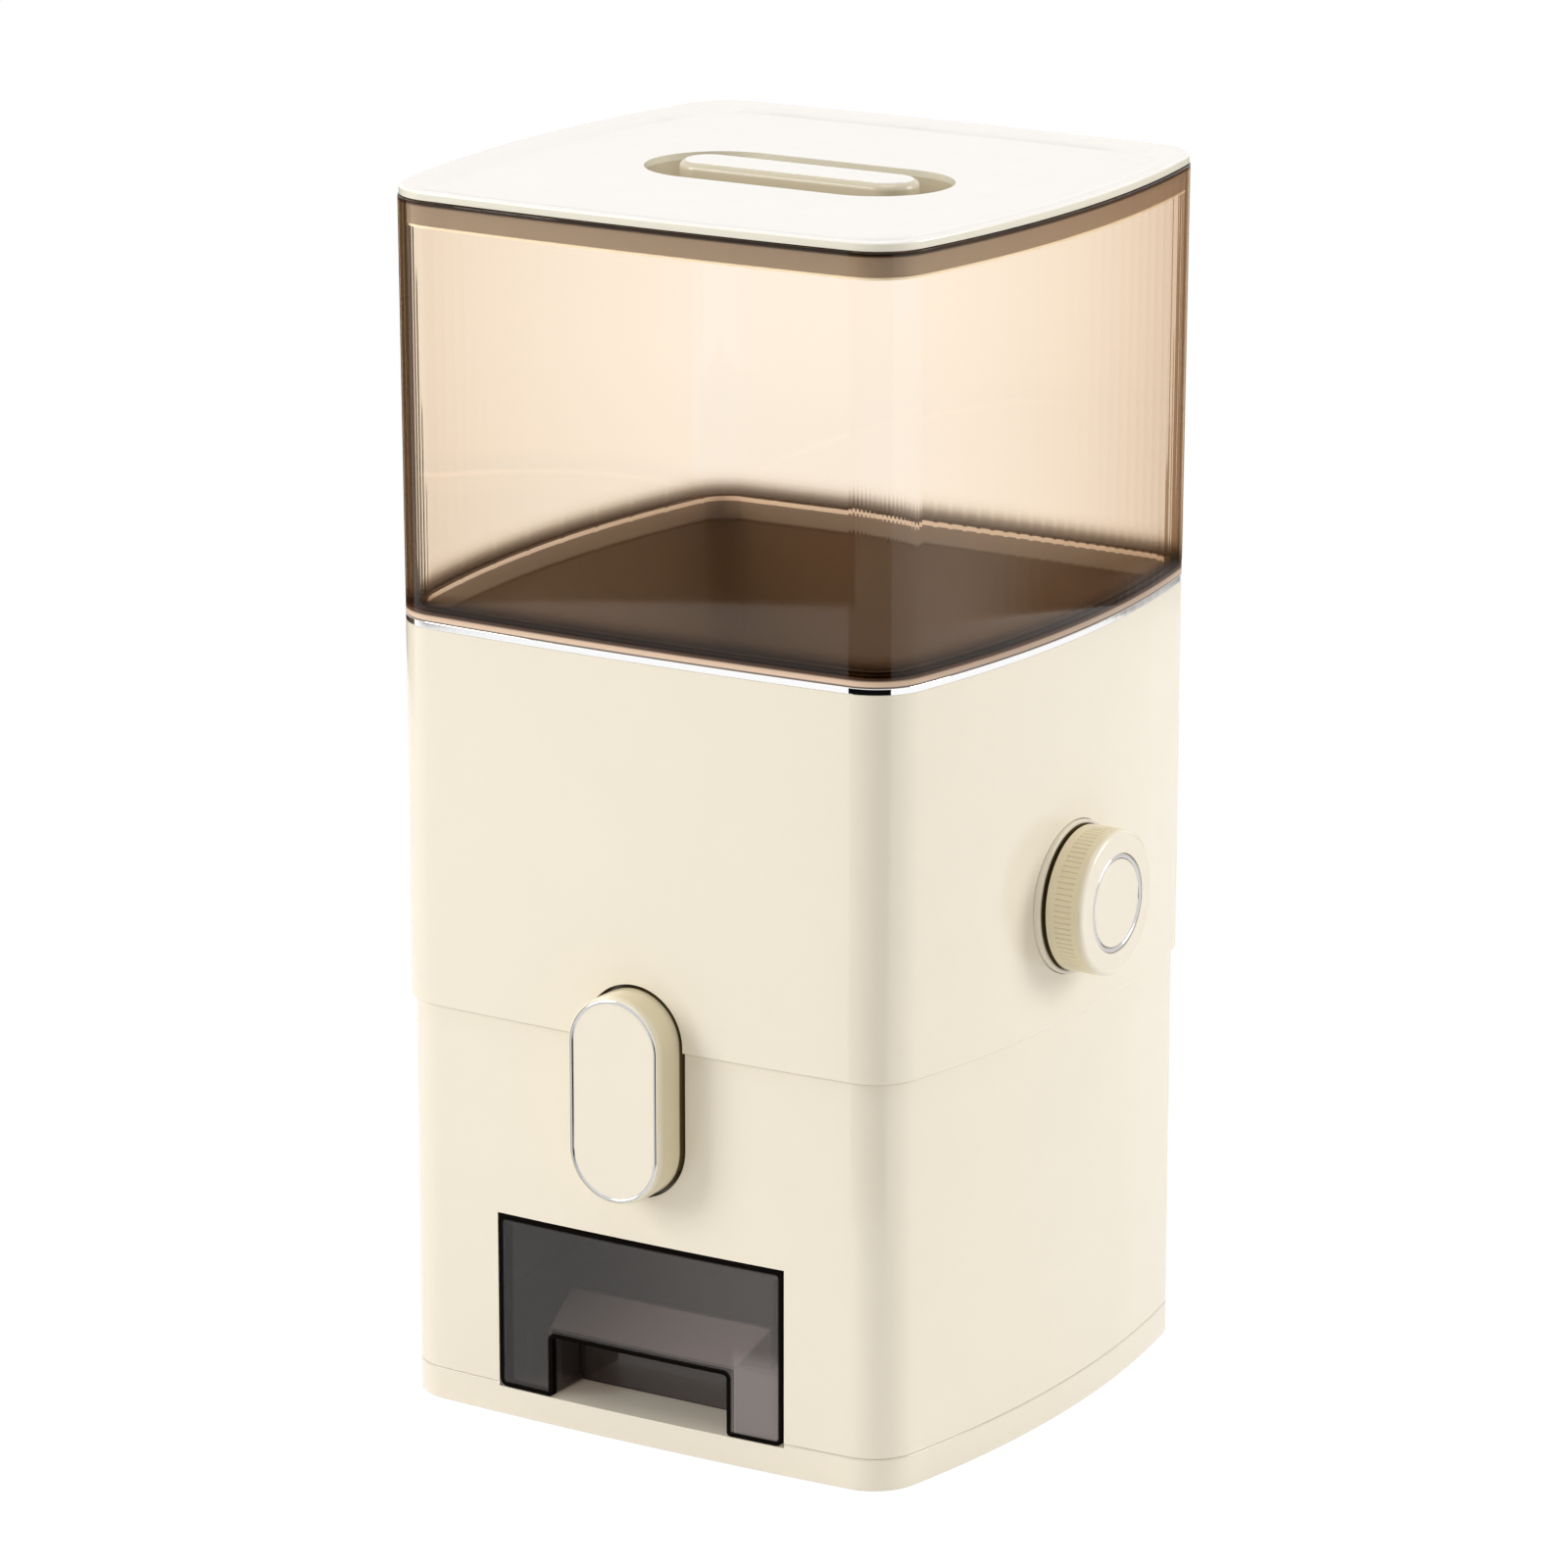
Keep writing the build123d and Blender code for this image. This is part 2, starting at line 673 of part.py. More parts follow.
def keeper_screws():
    return screws_up(keeper_points, keeper_top_z - keeper_thickness, keeper_thickness + small_screw_length)


# ---- Knob and rotor ----
def flatted(radius, x0, x1):
    """A round bar with one flat on top."""
    bar = rod_x(radius, x0, x1)
    cut_z = shaft_z + shaft_radius - shaft_flat + (radius - shaft_radius)
    return bar - block(x0, x1, -radius, radius, cut_z, shaft_z + 2 * radius)


def drive_shaft():
    bar = rod_x(shaft_radius, shaft_start_x, shaft_end_x)
    top_z = shaft_z + shaft_radius
    for x0, x1 in (
        (shaft_start_x, wheel_x),
        (-rotor_length / 2, rotor_length / 2),
        (knob_back_x, shaft_end_x),
    ):
        bar -= block(x0, x1, -shaft_radius, shaft_radius, top_z - shaft_flat, top_z)
    groove = rod_x(shaft_radius, clip_x - clip_thickness - shaft_play, clip_x + shaft_play)
    groove -= rod_x(shaft_radius - shaft_flat, clip_x - 2 * clip_thickness, clip_x + clip_thickness)
    bar -= groove
    return bar - rod_x(screw_hole, shaft_end_x - small_screw_length, shaft_end_x)


def about_shaft(shape, angle):
    return Pos(0, 0, shaft_z) * Rot(angle, 0, 0) * Pos(0, 0, -shaft_z) * shape


def pocket_angles(offset=0.0):
    return [offset + 360 / pocket_count * i for i in range(pocket_count)]


def metering_rotor():
    """Fluted rotor: each curved pocket carries one portion of rice."""
    half = rotor_length / 2
    body = rod_x(rotor_radius, -half, half)
    pocket_half = half - rotor_cheek
    for angle in pocket_angles():
        pocket = rod_x(pocket_radius, -pocket_half, pocket_half, 0, shaft_z + pocket_offset)
        body -= about_shaft(pocket, angle)
    for angle in pocket_angles(180 / pocket_count):
        body -= about_shaft(wiper_strip(shaft_play), angle)
    return body - flatted(shaft_radius + shaft_play, -half, half)


def wiper_strip(grow=0.0):
    half_y = wiper_thickness / 2 + grow
    z0 = shaft_z + rotor_radius - wiper_depth
    half_x = rotor_length / 2
    return block(-half_x, half_x, -half_y, half_y, z0, z0 + wiper_depth + wiper_reach)


def rotor_wipers():
    return Compound([about_shaft(wiper_strip(), angle) for angle in pocket_angles(180 / pocket_count)])


def detent_wheel():
    body = rod_x(wheel_radius, wheel_x - wheel_thickness, wheel_x)
    for angle in pocket_angles():
        notch = rod_x(notch_radius, wheel_x - wheel_thickness, wheel_x, 0, shaft_z - wheel_radius)
        body -= about_shaft(notch, angle)
    return body - flatted(shaft_radius + shaft_play, wheel_x - wheel_thickness, wheel_x)


def detent_spring():
    """Leaf with a half-round nose that clicks into the wheel's notches."""
    x0, x1 = wheel_x - wheel_thickness, wheel_x
    top_z = shaft_z - wheel_radius - notch_radius + clip_thickness
    post_y = barrel_inner / sqrt(2)
    leaf = block(x0, x1, -wheel_radius / 2, post_y + 3, top_z - clip_thickness, top_z)
    nose_radius = notch_radius - nose_gap
    leaf += rod_x(nose_radius, x0, x1, 0, shaft_z - wheel_radius)
    return leaf - rod_z(screw_hole, top_z - clip_thickness, top_z, (x0 + x1) / 2, post_y)


def detent_screw():
    top_z = shaft_z - wheel_radius - notch_radius + clip_thickness
    point = (wheel_x - wheel_thickness / 2, barrel_inner / sqrt(2))
    return screws_down([point], top_z, small_screw_length - 2)


def shaft_clip():
    body = rod_x(shaft_radius + clip_width, clip_x - clip_thickness, clip_x)
    body -= rod_x(shaft_radius - shaft_flat + shaft_play, clip_x - clip_thickness, clip_x)
    mouth = shaft_radius - 1
    return body - block(clip_x - clip_thickness, clip_x, -mouth, mouth, shaft_z - 2 * shaft_radius, shaft_z)


def knob_collar():
    body = rod_x(collar_radius, seat_x, collar_face_x)
    body = fillet(body.edges().sort_by(Axis.X)[-1:], seat_gap)
    body += rod_x(neck_radius, seat_x - neck_length, seat_x)
    return body - rod_x(shaft_radius + shaft_play, seat_x - neck_length, collar_face_x)


def collar_nut():
    x1 = seat_x - knob_pad
    nut = Pos(x1, 0, shaft_z) * Rot(0, -90, 0) * extrude(RegularPolygon(nut_radius, 6), amount=nut_thickness)
    return nut - rod_x(neck_radius + shaft_play, x1 - nut_thickness, x1)


def knob_body():
    body = rod_x(knob_radius, knob_back_x, knob_front_x)
    body = fillet(body.edges().sort_by(Axis.X)[-1:], knob_ring_width)
    body = chamfer(body.edges().sort_by(Axis.X)[:1], knob_rib_depth)
    x0 = knob_back_x + knob_rib_start
    flutes = []
    for i in range(knob_rib_count):
        flute = Pos(x0, 0, shaft_z + knob_radius) * Rot(45, 0, 0) * Box(
            knob_rib_width, knob_rib_depth * sqrt(2), knob_rib_depth * sqrt(2), align=(Align.MIN, Align.CENTER, Align.CENTER)
        )
        flutes.append(about_shaft(flute, 360 / knob_rib_count * i))
    body -= flutes
    body -= rod_x(knob_radius - knob_skin, knob_back_x, web_back_x) - rod_x(knob_hub_radius, knob_back_x, web_back_x)
    body -= rod_x(knob_ring_radius + shaft_play, knob_front_x - knob_ring_depth, knob_front_x)
    body -= flatted(shaft_radius + shaft_play, knob_back_x, web_back_x)
    body -= rod_x(screw_hole, web_back_x, knob_front_x)
    head_x = knob_front_x - knob_ring_depth - screw_head_height
    return body - rod_x(screw_head_radius + seat_gap, head_x, knob_front_x)


def knob_trim_ring():
    x0 = knob_front_x - knob_ring_depth
    x1 = knob_front_x - shaft_play
    return rod_x(knob_ring_radius, x0, x1) - rod_x(knob_ring_radius - knob_ring_width, x0, x1)


def knob_cap():
    x0 = knob_front_x - knob_ring_depth
    cap = rod_x(knob_ring_radius - knob_ring_width - shaft_play, x0, knob_front_x - seat_gap)
    return fillet(cap.edges().sort_by(Axis.X)[-1:], seat_gap)


def knob_screw():
    head_x = knob_front_x - knob_ring_depth - screw_head_height
    return Pos(head_x, 0, shaft_z) * Rot(0, 90, 0) * screw(small_screw_length)


# ---- Button ----
def button_body():
    body = upright_slot(button_y, button_back_y)
    body = fillet(body.faces().sort_by(Axis.Y)[0].edges(), trim_inset * 0.8)
    flange_y = button_flange_y
    body += upright_slot(flange_y, flange_y + button_flange_thickness, button_mouth_gap + button_flange)
    floor_y = button_y + trim_depth + button_wall
    body -= upright_slot(floor_y, button_back_y, -button_wall)
    body -= upright_slot(button_y, button_y + trim_depth, -trim_inset)
    stem_back_y = guide_back_y + seat_gap
    half = stem_width / 2
    body += block(-half, half, floor_y - seat_gap, stem_back_y, shutter_z, shutter_z + stem_height)
    for z in (button_z - spring_offset, button_z + spring_offset):
        body += rod_y(spring_radius - 2 * spring_wire - 1, floor_y - seat_gap, floor_y + lip_height, 0, z)
    hole_z = shutter_z + stem_height * 0.7
    return body - rod_y(screw_hole, stem_back_y - small_screw_length, stem_back_y, 0, hole_z)


def button_trim_ring():
    y0, y1 = button_y - shaft_play, button_y + trim_depth
    outer = upright_slot(y0, y1, -trim_inset - shaft_play)
    return outer - upright_slot(y0, y1, -trim_inset - trim_width)


def button_face():
    y0 = button_y + seat_gap
    return upright_slot(y0, button_y + trim_depth, -trim_inset - trim_width - shaft_play)


def button_guide():
    """Cup behind the housings: the button slides in it against two springs."""
    grow = button_mouth_gap + button_flange + slide_gap
    plate_x = guide_x + post_radius
    plate_z = guide_dz + post_radius + lip_thickness
    body = block(-plate_x, plate_x, guide_front_y, guide_front_y + guide_wall, button_z - plate_z, button_z + plate_z)
    body += upright_slot(guide_front_y, guide_back_y, grow + guide_wall)
    body -= upright_slot(guide_front_y, guide_floor_y, grow)
    for z in (button_z - spring_offset, button_z + spring_offset):
        body += rod_y(spring_radius - 2 * spring_wire - 1, guide_floor_y - lip_height, guide_floor_y + 1, 0, z)
    half_x = stem_width / 2 + slide_gap
    body -= block(-half_x, half_x, guide_floor_y, guide_back_y, shutter_z - slide_gap, shutter_z + stem_height + slide_gap)
    for x, z in corners(guide_x, guide_dz):
        body -= rod_y(screw_hole, guide_front_y, guide_front_y + guide_wall, x, button_z + z)
    return body


def button_guide_screws():
    y = guide_front_y + guide_wall
    length = guide_wall + small_screw_length / 2
    points = corners(guide_x, guide_dz)
    return Compound([Pos(x, y, button_z + z) * Rot(-90, 0, 0) * screw(length) for x, z in points])


def button_springs():
    length = guide_floor_y - button_y - trim_depth - button_wall - 2 * spring_wire
    coils = []
    for z in (button_z - spring_offset, button_z + spring_offset):
        path = Helix(length / spring_turns, length, spring_radius)
        start = Plane(origin=path @ 0, z_dir=path % 0)
        coil = sweep(start * Rectangle(2 * spring_wire, 2 * spring_wire), path=path, is_frenet=True)
        place = Pos(0, button_y + trim_depth + button_wall + spring_wire, z)
        coils.append(place * Rot(-90, 0, 0) * coil)
    return Compound(coils)


# ---- Drawer ----
def drawer():
    """One moulding: flush front with an open-bottomed finger notch, and the box."""
    z0 = deck_z + drawer_lift
    half = drawer_width / 2
    front = block(-half, half, wall_y, wall_y + corner_radius, z0, drawer_top_z)
    front = fillet(front.edges().filter_by(Axis.Y).sort_by(Axis.Z)[:2], drawer_corner_round)
    front = front & (prism(lower_step, z0, drawer_top_z) - prism(lower_step + drawer_front_wall, z0, drawer_top_z))
    box_half = half - drawer_side_step
    y0 = wall_y + lower_step + drawer_front_wall / 2
    y1 = wall_y + lower_step + drawer_length
    top_z = drawer_top_z - drawer_side_drop
    box = block(-box_half, box_half, y0, y1, z0, top_z)
    box = fillet(box.edges().filter_by(Axis.Y).sort_by(Axis.Z)[:2], drawer_box_round)
    inner_half = box_half - drawer_wall
    inner_y0 = wall_y + lower_step + drawer_front_wall + front_bulge / 4
    hollow = block(-inner_half, inner_half, inner_y0, y1 - drawer_wall, z0 + drawer_wall, drawer_top_z)
    hollow = fillet(hollow.edges().filter_by(Axis.Z), lip_thickness)
    notch_back_y = wall_y + lower_step + notch_depth
    notch_half = notch_width / 2
    cover = block(
        -notch_half - drawer_wall, notch_half + drawer_wall, y0, notch_back_y + drawer_wall, z0, notch_top_z + drawer_wall
    )
    notch = block(-notch_half, notch_half, wall_y, notch_back_y, z0, notch_top_z)
    notch = fillet(notch.edges().filter_by(Axis.Y).sort_by(Axis.Z)[-2:], notch_corner_round)
    body = front + (box - hollow) + cover - notch
    feet = [e for e in body.edges().filter_by(Axis.Y) if abs(e.center().Z - z0) < seat_gap]
    feet = [e for e in feet if abs(abs(e.center().X) - notch_half) < seat_gap]
    return fillet(feet, notch_corner_round)


# ---- Bin ----
def flared(inset, z0, z1):
    """The bin's plan, growing by the flare between its foot and its rim."""
    def at(z):
        return Pos(0, 0, z) * plan(inset - bin_flare * (z - bin_z) / bin_height)
    return loft([at(z0), at(z1)], ruled=True)


def storage_bin():
    body = flared(0, bin_z, rim_z) - flared(bin_wall, bin_z, rim_z)
    foot_z = bin_z + bin_foot_height
    body += flared(bin_wall / 2, bin_z, foot_z) - prism(spigot_inner, bin_z, foot_z)
    body += ring(spigot_outer, spigot_inner, spigot_z, bin_z + bin_foot_height / 2)
    for lug in snap_lugs():
        body += lug
    return body


def bin_seal():
    return ring(spigot_outer + seat_gap / 2, spigot_inner - seat_gap / 2, flange_top_z, spigot_z)


# ---- Lid ----
def lid_panel():
    body = prism(-lid_overhang, lid_z, lid_top_z)
    body = fillet(body.faces().sort_by(Axis.Z)[-1].edges(), lid_round)
    slope_in = lid_rim_width + lid_slope_width
    body -= loft([Pos(0, 0, field_z) * plan(slope_in), Pos(0, 0, lid_top_z) * plan(lid_rim_width)], ruled=True)
    body += prism(plug_outer, plug_z, lid_z + seat_gap)
    foot = bin_wall - bin_flare + gasket_gap + seat_gap
    body += prism(foot, plug_z, plug_z + gasket_foot)
    body -= prism(plug_outer + plug_thickness, plug_z, field_under_z)
    body -= flat_slot(dish_length, dish_width, field_under_z, lid_top_z)
    for x, y in dish_points:
        body += rod_z(lid_post_radius, dish_flange_z, field_under_z + seat_gap, x, y)
        body -= rod_z(screw_hole, dish_flange_z, dish_flange_z + small_screw_length / 2, x, y)
    return body


def lid_gasket():
    outer = bin_wall - bin_flare + gasket_gap
    return ring(outer, plug_outer - shaft_play, plug_z + gasket_foot, lid_z)


def grip_dish():
    """Tray under the oval opening, screwed to posts on the lid."""
    grow = 2 * dish_wall
    body = flat_slot(dish_length + grow, dish_width + grow, dish_floor_z - dish_wall, field_under_z)
    hollow = flat_slot(dish_length, dish_width, dish_floor_z, field_under_z)
    hollow = fillet(hollow.faces().sort_by(Axis.Z)[0].edges(), dish_wall)
    body -= hollow
    ear = 2 * dish_flange
    flange = flat_slot(dish_length + ear, dish_width + ear, dish_flange_z - dish_wall, dish_flange_z)
    body += flange - flat_slot(dish_length + dish_wall, dish_width + dish_wall, dish_flange_z - dish_wall, dish_flange_z)
    for x, y in dish_points:
        body -= rod_z(screw_hole, dish_flange_z - dish_wall, dish_flange_z, x, y)
    for x, y in grip_points:
        body -= rod_z(screw_hole, dish_floor_z - dish_wall, dish_floor_z, x, y)
    return body


def lid_grip():
    body = flat_slot(grip_length, grip_width, dish_floor_z, field_z + grip_rise)
    body = fillet(body.faces().sort_by(Axis.Z)[-1].edges(), grip_round)
    for x, y in grip_points:
        body -= rod_z(screw_hole, dish_floor_z, dish_floor_z + small_screw_length, x, y)
    return body


def lid_screws():
    short = dish_wall + small_screw_length / 2
    ears = screws_up(dish_points, dish_flange_z - dish_wall, short)
    middle = screws_up(grip_points, dish_floor_z - dish_wall, dish_wall + small_screw_length)
    return Compound(list(ears.solids()) + list(middle.solids()))


PIECES = [
    base_plate,
    foot_pads,
    base_screws,
    drawer_guide,
    guide_screws,
    drawer,
    lower_housing,
    seam_screws,
    upper_housing,
    chrome_band,
    hopper_funnel,
    metering_trough,
    barrel_screws,
    shaft_bushes,
    shutter_gate,
    gate_screw,
    shutter_keeper,
    keeper_screws,
    drive_shaft,
    metering_rotor,
    rotor_wipers,
    detent_wheel,
    detent_spring,
    detent_screw,
    shaft_clip,
    knob_collar,
    collar_nut,
    knob_body,
    knob_trim_ring,
    knob_cap,
    knob_screw,
    button_body,
    button_trim_ring,
    button_face,
    button_guide,
    button_guide_screws,
    button_springs,
    storage_bin,
    bin_seal,
    lid_panel,
    lid_gasket,
    grip_dish,
    lid_grip,
    lid_screws,
]

os.makedirs("parts", exist_ok=True)
for piece in PIECES:
    export_step(piece(), f"parts/{piece.__name__}.step")
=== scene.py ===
"""Looks of the rice dispenser, built up in the order in which it is put together."""

import json
from math import atan2, cos, exp, hypot, pi, radians, sin, sqrt

import bmesh
import bpy
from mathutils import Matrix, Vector

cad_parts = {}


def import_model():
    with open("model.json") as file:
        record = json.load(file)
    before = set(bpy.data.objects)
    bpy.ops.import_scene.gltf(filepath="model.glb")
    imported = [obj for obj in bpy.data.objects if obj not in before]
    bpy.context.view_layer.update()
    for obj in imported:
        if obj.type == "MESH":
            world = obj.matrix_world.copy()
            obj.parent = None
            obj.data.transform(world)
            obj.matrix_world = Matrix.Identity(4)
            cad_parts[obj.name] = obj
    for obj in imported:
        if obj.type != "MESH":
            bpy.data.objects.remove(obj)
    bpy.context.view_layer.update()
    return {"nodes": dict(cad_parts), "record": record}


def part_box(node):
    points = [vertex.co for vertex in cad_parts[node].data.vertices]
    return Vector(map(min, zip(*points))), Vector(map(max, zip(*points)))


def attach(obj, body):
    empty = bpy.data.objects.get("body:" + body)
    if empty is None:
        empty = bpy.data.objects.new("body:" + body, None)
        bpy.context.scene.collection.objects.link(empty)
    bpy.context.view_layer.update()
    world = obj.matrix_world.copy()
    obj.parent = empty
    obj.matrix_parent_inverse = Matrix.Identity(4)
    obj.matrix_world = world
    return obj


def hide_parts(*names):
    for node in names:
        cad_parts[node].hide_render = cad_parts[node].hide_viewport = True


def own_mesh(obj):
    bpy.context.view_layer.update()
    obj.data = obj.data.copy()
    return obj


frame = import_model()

mm = 0.001
scene = bpy.context.scene
scene.view_settings.view_transform = "Standard"

# ---- Camera ----
# The photograph's view: a long lens two and a half metres away, a little above the lid
# and to the right of the front.
camera_place = Vector((1.25146, -2.03515, 0.87734))
camera_aim = Vector((-0.00441, -0.00272, 0.21986))
camera = bpy.data.objects.new("camera", bpy.data.cameras.new("camera"))
scene.collection.objects.link(camera)
camera.data.sensor_width = 36.0
camera.data.lens = 156.97
camera.data.clip_start = 0.1
camera.data.clip_end = 60.0
camera.location = camera_place
camera.rotation_euler = (camera_aim - camera_place).to_track_quat("-Z", "Y").to_euler()
scene.camera = camera

# ---- Studio: white sweep, soft boxes and floor cards ----
# The floor and the world are plain white wherever they are looked at. The boxes light
# the front and the right side, and the corner between them stays a little darker.
ambient_level = 0.46
floor_share, floor_glow = 0.88, 1.06


def wired(tree, kind, inputs, **settings):
    """Add a node to a tree; each input is a value, a socket or a list of sockets."""
    node = tree.nodes.new(kind)
    for key, value in settings.items():
        setattr(node, key, value)
    for key, value in inputs.items():
        socket = node.inputs[key]
        for source in value if isinstance(value, list) else [value]:
            if isinstance(source, bpy.types.NodeSocket):
                tree.links.new(source, socket)
            elif socket.type == "RGBA":
                socket.default_value = (*source, 1.0)
            else:
                socket.default_value = source
    return node.outputs


def looked_at(tree):
    """1 for rays that come from the eye, a mirror or through clear plastic."""
    rays = wired(tree, "ShaderNodeLightPath", {})
    seen = wired(tree, "ShaderNodeMath", {0: rays["Is Camera Ray"], 1: rays["Is Glossy Ray"]},
                 operation="MAXIMUM")[0]
    return wired(tree, "ShaderNodeMath", {0: seen, 1: rays["Is Transmission Ray"]}, operation="MAXIMUM")[0]


world = bpy.data.worlds.new("studio")
scene.world = world
world.use_nodes = True
tree = world.node_tree
tree.nodes.clear()
light = wired(tree, "ShaderNodeBackground", {"Color": (1.0, 0.985, 0.96), "Strength": ambient_level})[0]
white = wired(tree, "ShaderNodeBackground", {"Color": (1.0, 1.0, 1.0), "Strength": 1.0})[0]
sky = wired(tree, "ShaderNodeMixShader", {0: looked_at(tree), 1: light, 2: white})[0]
wired(tree, "ShaderNodeOutputWorld", {"Surface": sky})

paper = bpy.data.materials.new("paper_floor")
paper.use_nodes = True
tree = paper.node_tree
tree.nodes.clear()
share = wired(tree, "ShaderNodeMath", {0: looked_at(tree), 1: floor_share}, operation="MULTIPLY")[0]
matt = wired(tree, "ShaderNodeBsdfDiffuse", {"Color": (0.86, 0.86, 0.86)})[0]
glow = wired(tree, "ShaderNodeEmission", {"Color": (1.0, 1.0, 1.0), "Strength": floor_glow})[0]
sheet = wired(tree, "ShaderNodeMixShader", {0: share, 1: matt, 2: glow})[0]
wired(tree, "ShaderNodeOutputMaterial", {"Surface": sheet})

floor_half, floor_drop = 9.0, 0.1 * mm
floor_mesh = bpy.data.meshes.new("floor")
sides = ((-1, -1), (1, -1), (1, 1), (-1, 1))
floor_mesh.from_pydata([(x * floor_half, y * floor_half, -floor_drop) for x, y in sides], [], [(0, 1, 2, 3)])
floor_mesh.materials.append(paper)
floor = bpy.data.objects.new("floor", floor_mesh)
scene.collection.objects.link(floor)


def floor_card(name, centre, turns, rows):
    """A card on the floor that only reflections and bent light find.

    Each row is a reach from the centre and its colours, spread evenly along the turn.
    """
    steps, card_lift = 24, 1.0 * mm
    points, tones = [], []
    for reach, colours in rows:
        for step in range(steps + 1):
            turn = radians(turns[0] + (turns[1] - turns[0]) * step / steps)
            points.append((centre[0] + reach * sin(turn), centre[1] - reach * cos(turn), card_lift))
            place = step / steps * (len(colours) - 1)
            start = min(int(place), max(len(colours) - 2, 0))
            end = min(start + 1, len(colours) - 1)
            tones.append([p + (q - p) * (place - start) for p, q in zip(colours[start], colours[end])])
    width = steps + 1
    starts = [line * width + i for line in range(len(rows) - 1) for i in range(steps)]
    card_mesh = bpy.data.meshes.new(name)
    card_mesh.from_pydata(points, [], [(i, i + 1, i + width + 1, i + width) for i in starts])
    shade = card_mesh.color_attributes.new("shade", "FLOAT_COLOR", "POINT")
    for item, tone in zip(shade.data, tones):
        item.color = (*tone, 1.0)
    finish = bpy.data.materials.new(name)
    finish.use_nodes = True
    tree = finish.node_tree
    tree.nodes.clear()
    tone_of = wired(tree, "ShaderNodeAttribute", {}, attribute_name="shade")["Color"]
    glow = wired(tree, "ShaderNodeEmission", {"Color": tone_of})[0]
    wired(tree, "ShaderNodeOutputMaterial", {"Surface": glow})
    card_mesh.materials.append(finish)
    card = bpy.data.objects.new(name, card_mesh)
    scene.collection.objects.link(card)
    card.visible_camera = False
    card.visible_diffuse = False
    card.visible_shadow = False
    return card


# A black card before the near corner gives the chrome strip its dark dash.
black, bright = (0.004, 0.004, 0.004), (1.06, 1.06, 1.06)
near_card = floor_card("near_card", (0.096, -0.092), (-24, 57), [(0.30, [black]), (3.0, [black])])
near_card.visible_transmission = False
# Warm and dark ones, beyond the reach of the strip, shade the edges of the clear bin.
brown, umber = (0.16, 0.11, 0.075), (0.06, 0.045, 0.03)
amber = [bright, (1.0, 0.95, 0.88), (0.72, 0.60, 0.50), (0.46, 0.35, 0.265), (0.266, 0.186, 0.135), brown]
shade = [bright, (1.0, 0.96, 0.90), (0.35, 0.28, 0.22), (0.08, 0.06, 0.04), umber, umber]
dusk = [bright, (1.0, 0.96, 0.92), (0.10, 0.075, 0.055), (0.22, 0.18, 0.15), bright, bright]
floor_card("side_card", (0, 0), (112, 180), [(1.24, dusk), (1.33, shade), (1.44, amber), (3.6, amber)])
back_tones = [brown, (0.5, 0.4, 0.3)]
floor_card("back_card", (0, 0), (180, 199), [(1.30, back_tones), (3.6, back_tones)])
front_rows = [
    (1.30, (0.03, 0.02, 0.012)), (1.40, (0.05, 0.035, 0.02)), (1.62, (0.5, 0.45, 0.4)), (1.90, bright)]
floor_card("front_card", (0, 0), (-66, -10), [(reach, [tone]) for reach, tone in front_rows])
left_tones = [(0.05, 0.035, 0.02), (0.12, 0.08, 0.05)]
floor_card("left_card", (0, 0), (225, 280), [(1.10, left_tones), (3.6, left_tones)])

lamp_aim = Vector((0, 0, 0.2))
for lamp_name, turn, lift, reach, width, height, watts in (
    ("left_box", -46, 20, 5.4, 2.2, 3.0, 151.0),
    ("right_box", 121, 20, 5.4, 2.2, 3.0, 129.0),
    ("top_box", 20, 82, 3.4, 2.0, 2.0, 31.0),
):
    lamp = bpy.data.lights.new(lamp_name, "AREA")
    lamp.shape = "RECTANGLE"
    lamp.size, lamp.size_y = width, height
    lamp.energy = watts
    lamp_object = bpy.data.objects.new(lamp_name, lamp)
    scene.collection.objects.link(lamp_object)
    turn, lift = radians(turn), radians(lift)
    lamp_place = Vector((sin(turn) * cos(lift), -cos(turn) * cos(lift), sin(lift))) * reach
    lamp_object.location = lamp_place + lamp_aim
    lamp_object.rotation_euler = (-lamp_place).to_track_quat("-Z", "Y").to_euler()

# ---- Base ----
# Floor moulding in cream gloss ABS from a polished mould, with four soft pads pushed
# into pockets. Painted shade darkens the joint line at its top.
cream = (0.871, 0.799, 0.658)
# Painted shade for the joints between the shells.
painted_joint_shade = (0.74, 0.68, 0.555)


def surfaced(name, values):
    """A new material with these values on its surface shader."""
    finish = bpy.data.materials.new(name)
    finish.use_nodes = True
    for socket, value in values.items():
        finish.node_tree.nodes["Principled BSDF"].inputs[socket].default_value = value
    return finish


def marked_gloss(finish, scale, detail, low, high):
    """Let faint marks move the roughness between low and high; returns the marks."""
    tree = finish.node_tree
    where = wired(tree, "ShaderNodeTexCoord", {})["Object"]
    marks = wired(tree, "ShaderNodeTexNoise", {"Vector": where, "Scale": scale, "Detail": detail})["Fac"]
    gloss = wired(tree, "ShaderNodeMapRange", {"Value": marks, "To Min": low, "To Max": high})["Result"]
    tree.links.new(gloss, tree.nodes["Principled BSDF"].inputs["Roughness"])
    return marks


def mixed(finish, amount, first, second, blend="MIX"):
    """Mix two colours; they and the amount are values or sockets."""
    return wired(finish.node_tree, "ShaderNodeMix", {0: amount, 6: first, 7: second},
                 data_type="RGBA", blend_type=blend)[2]


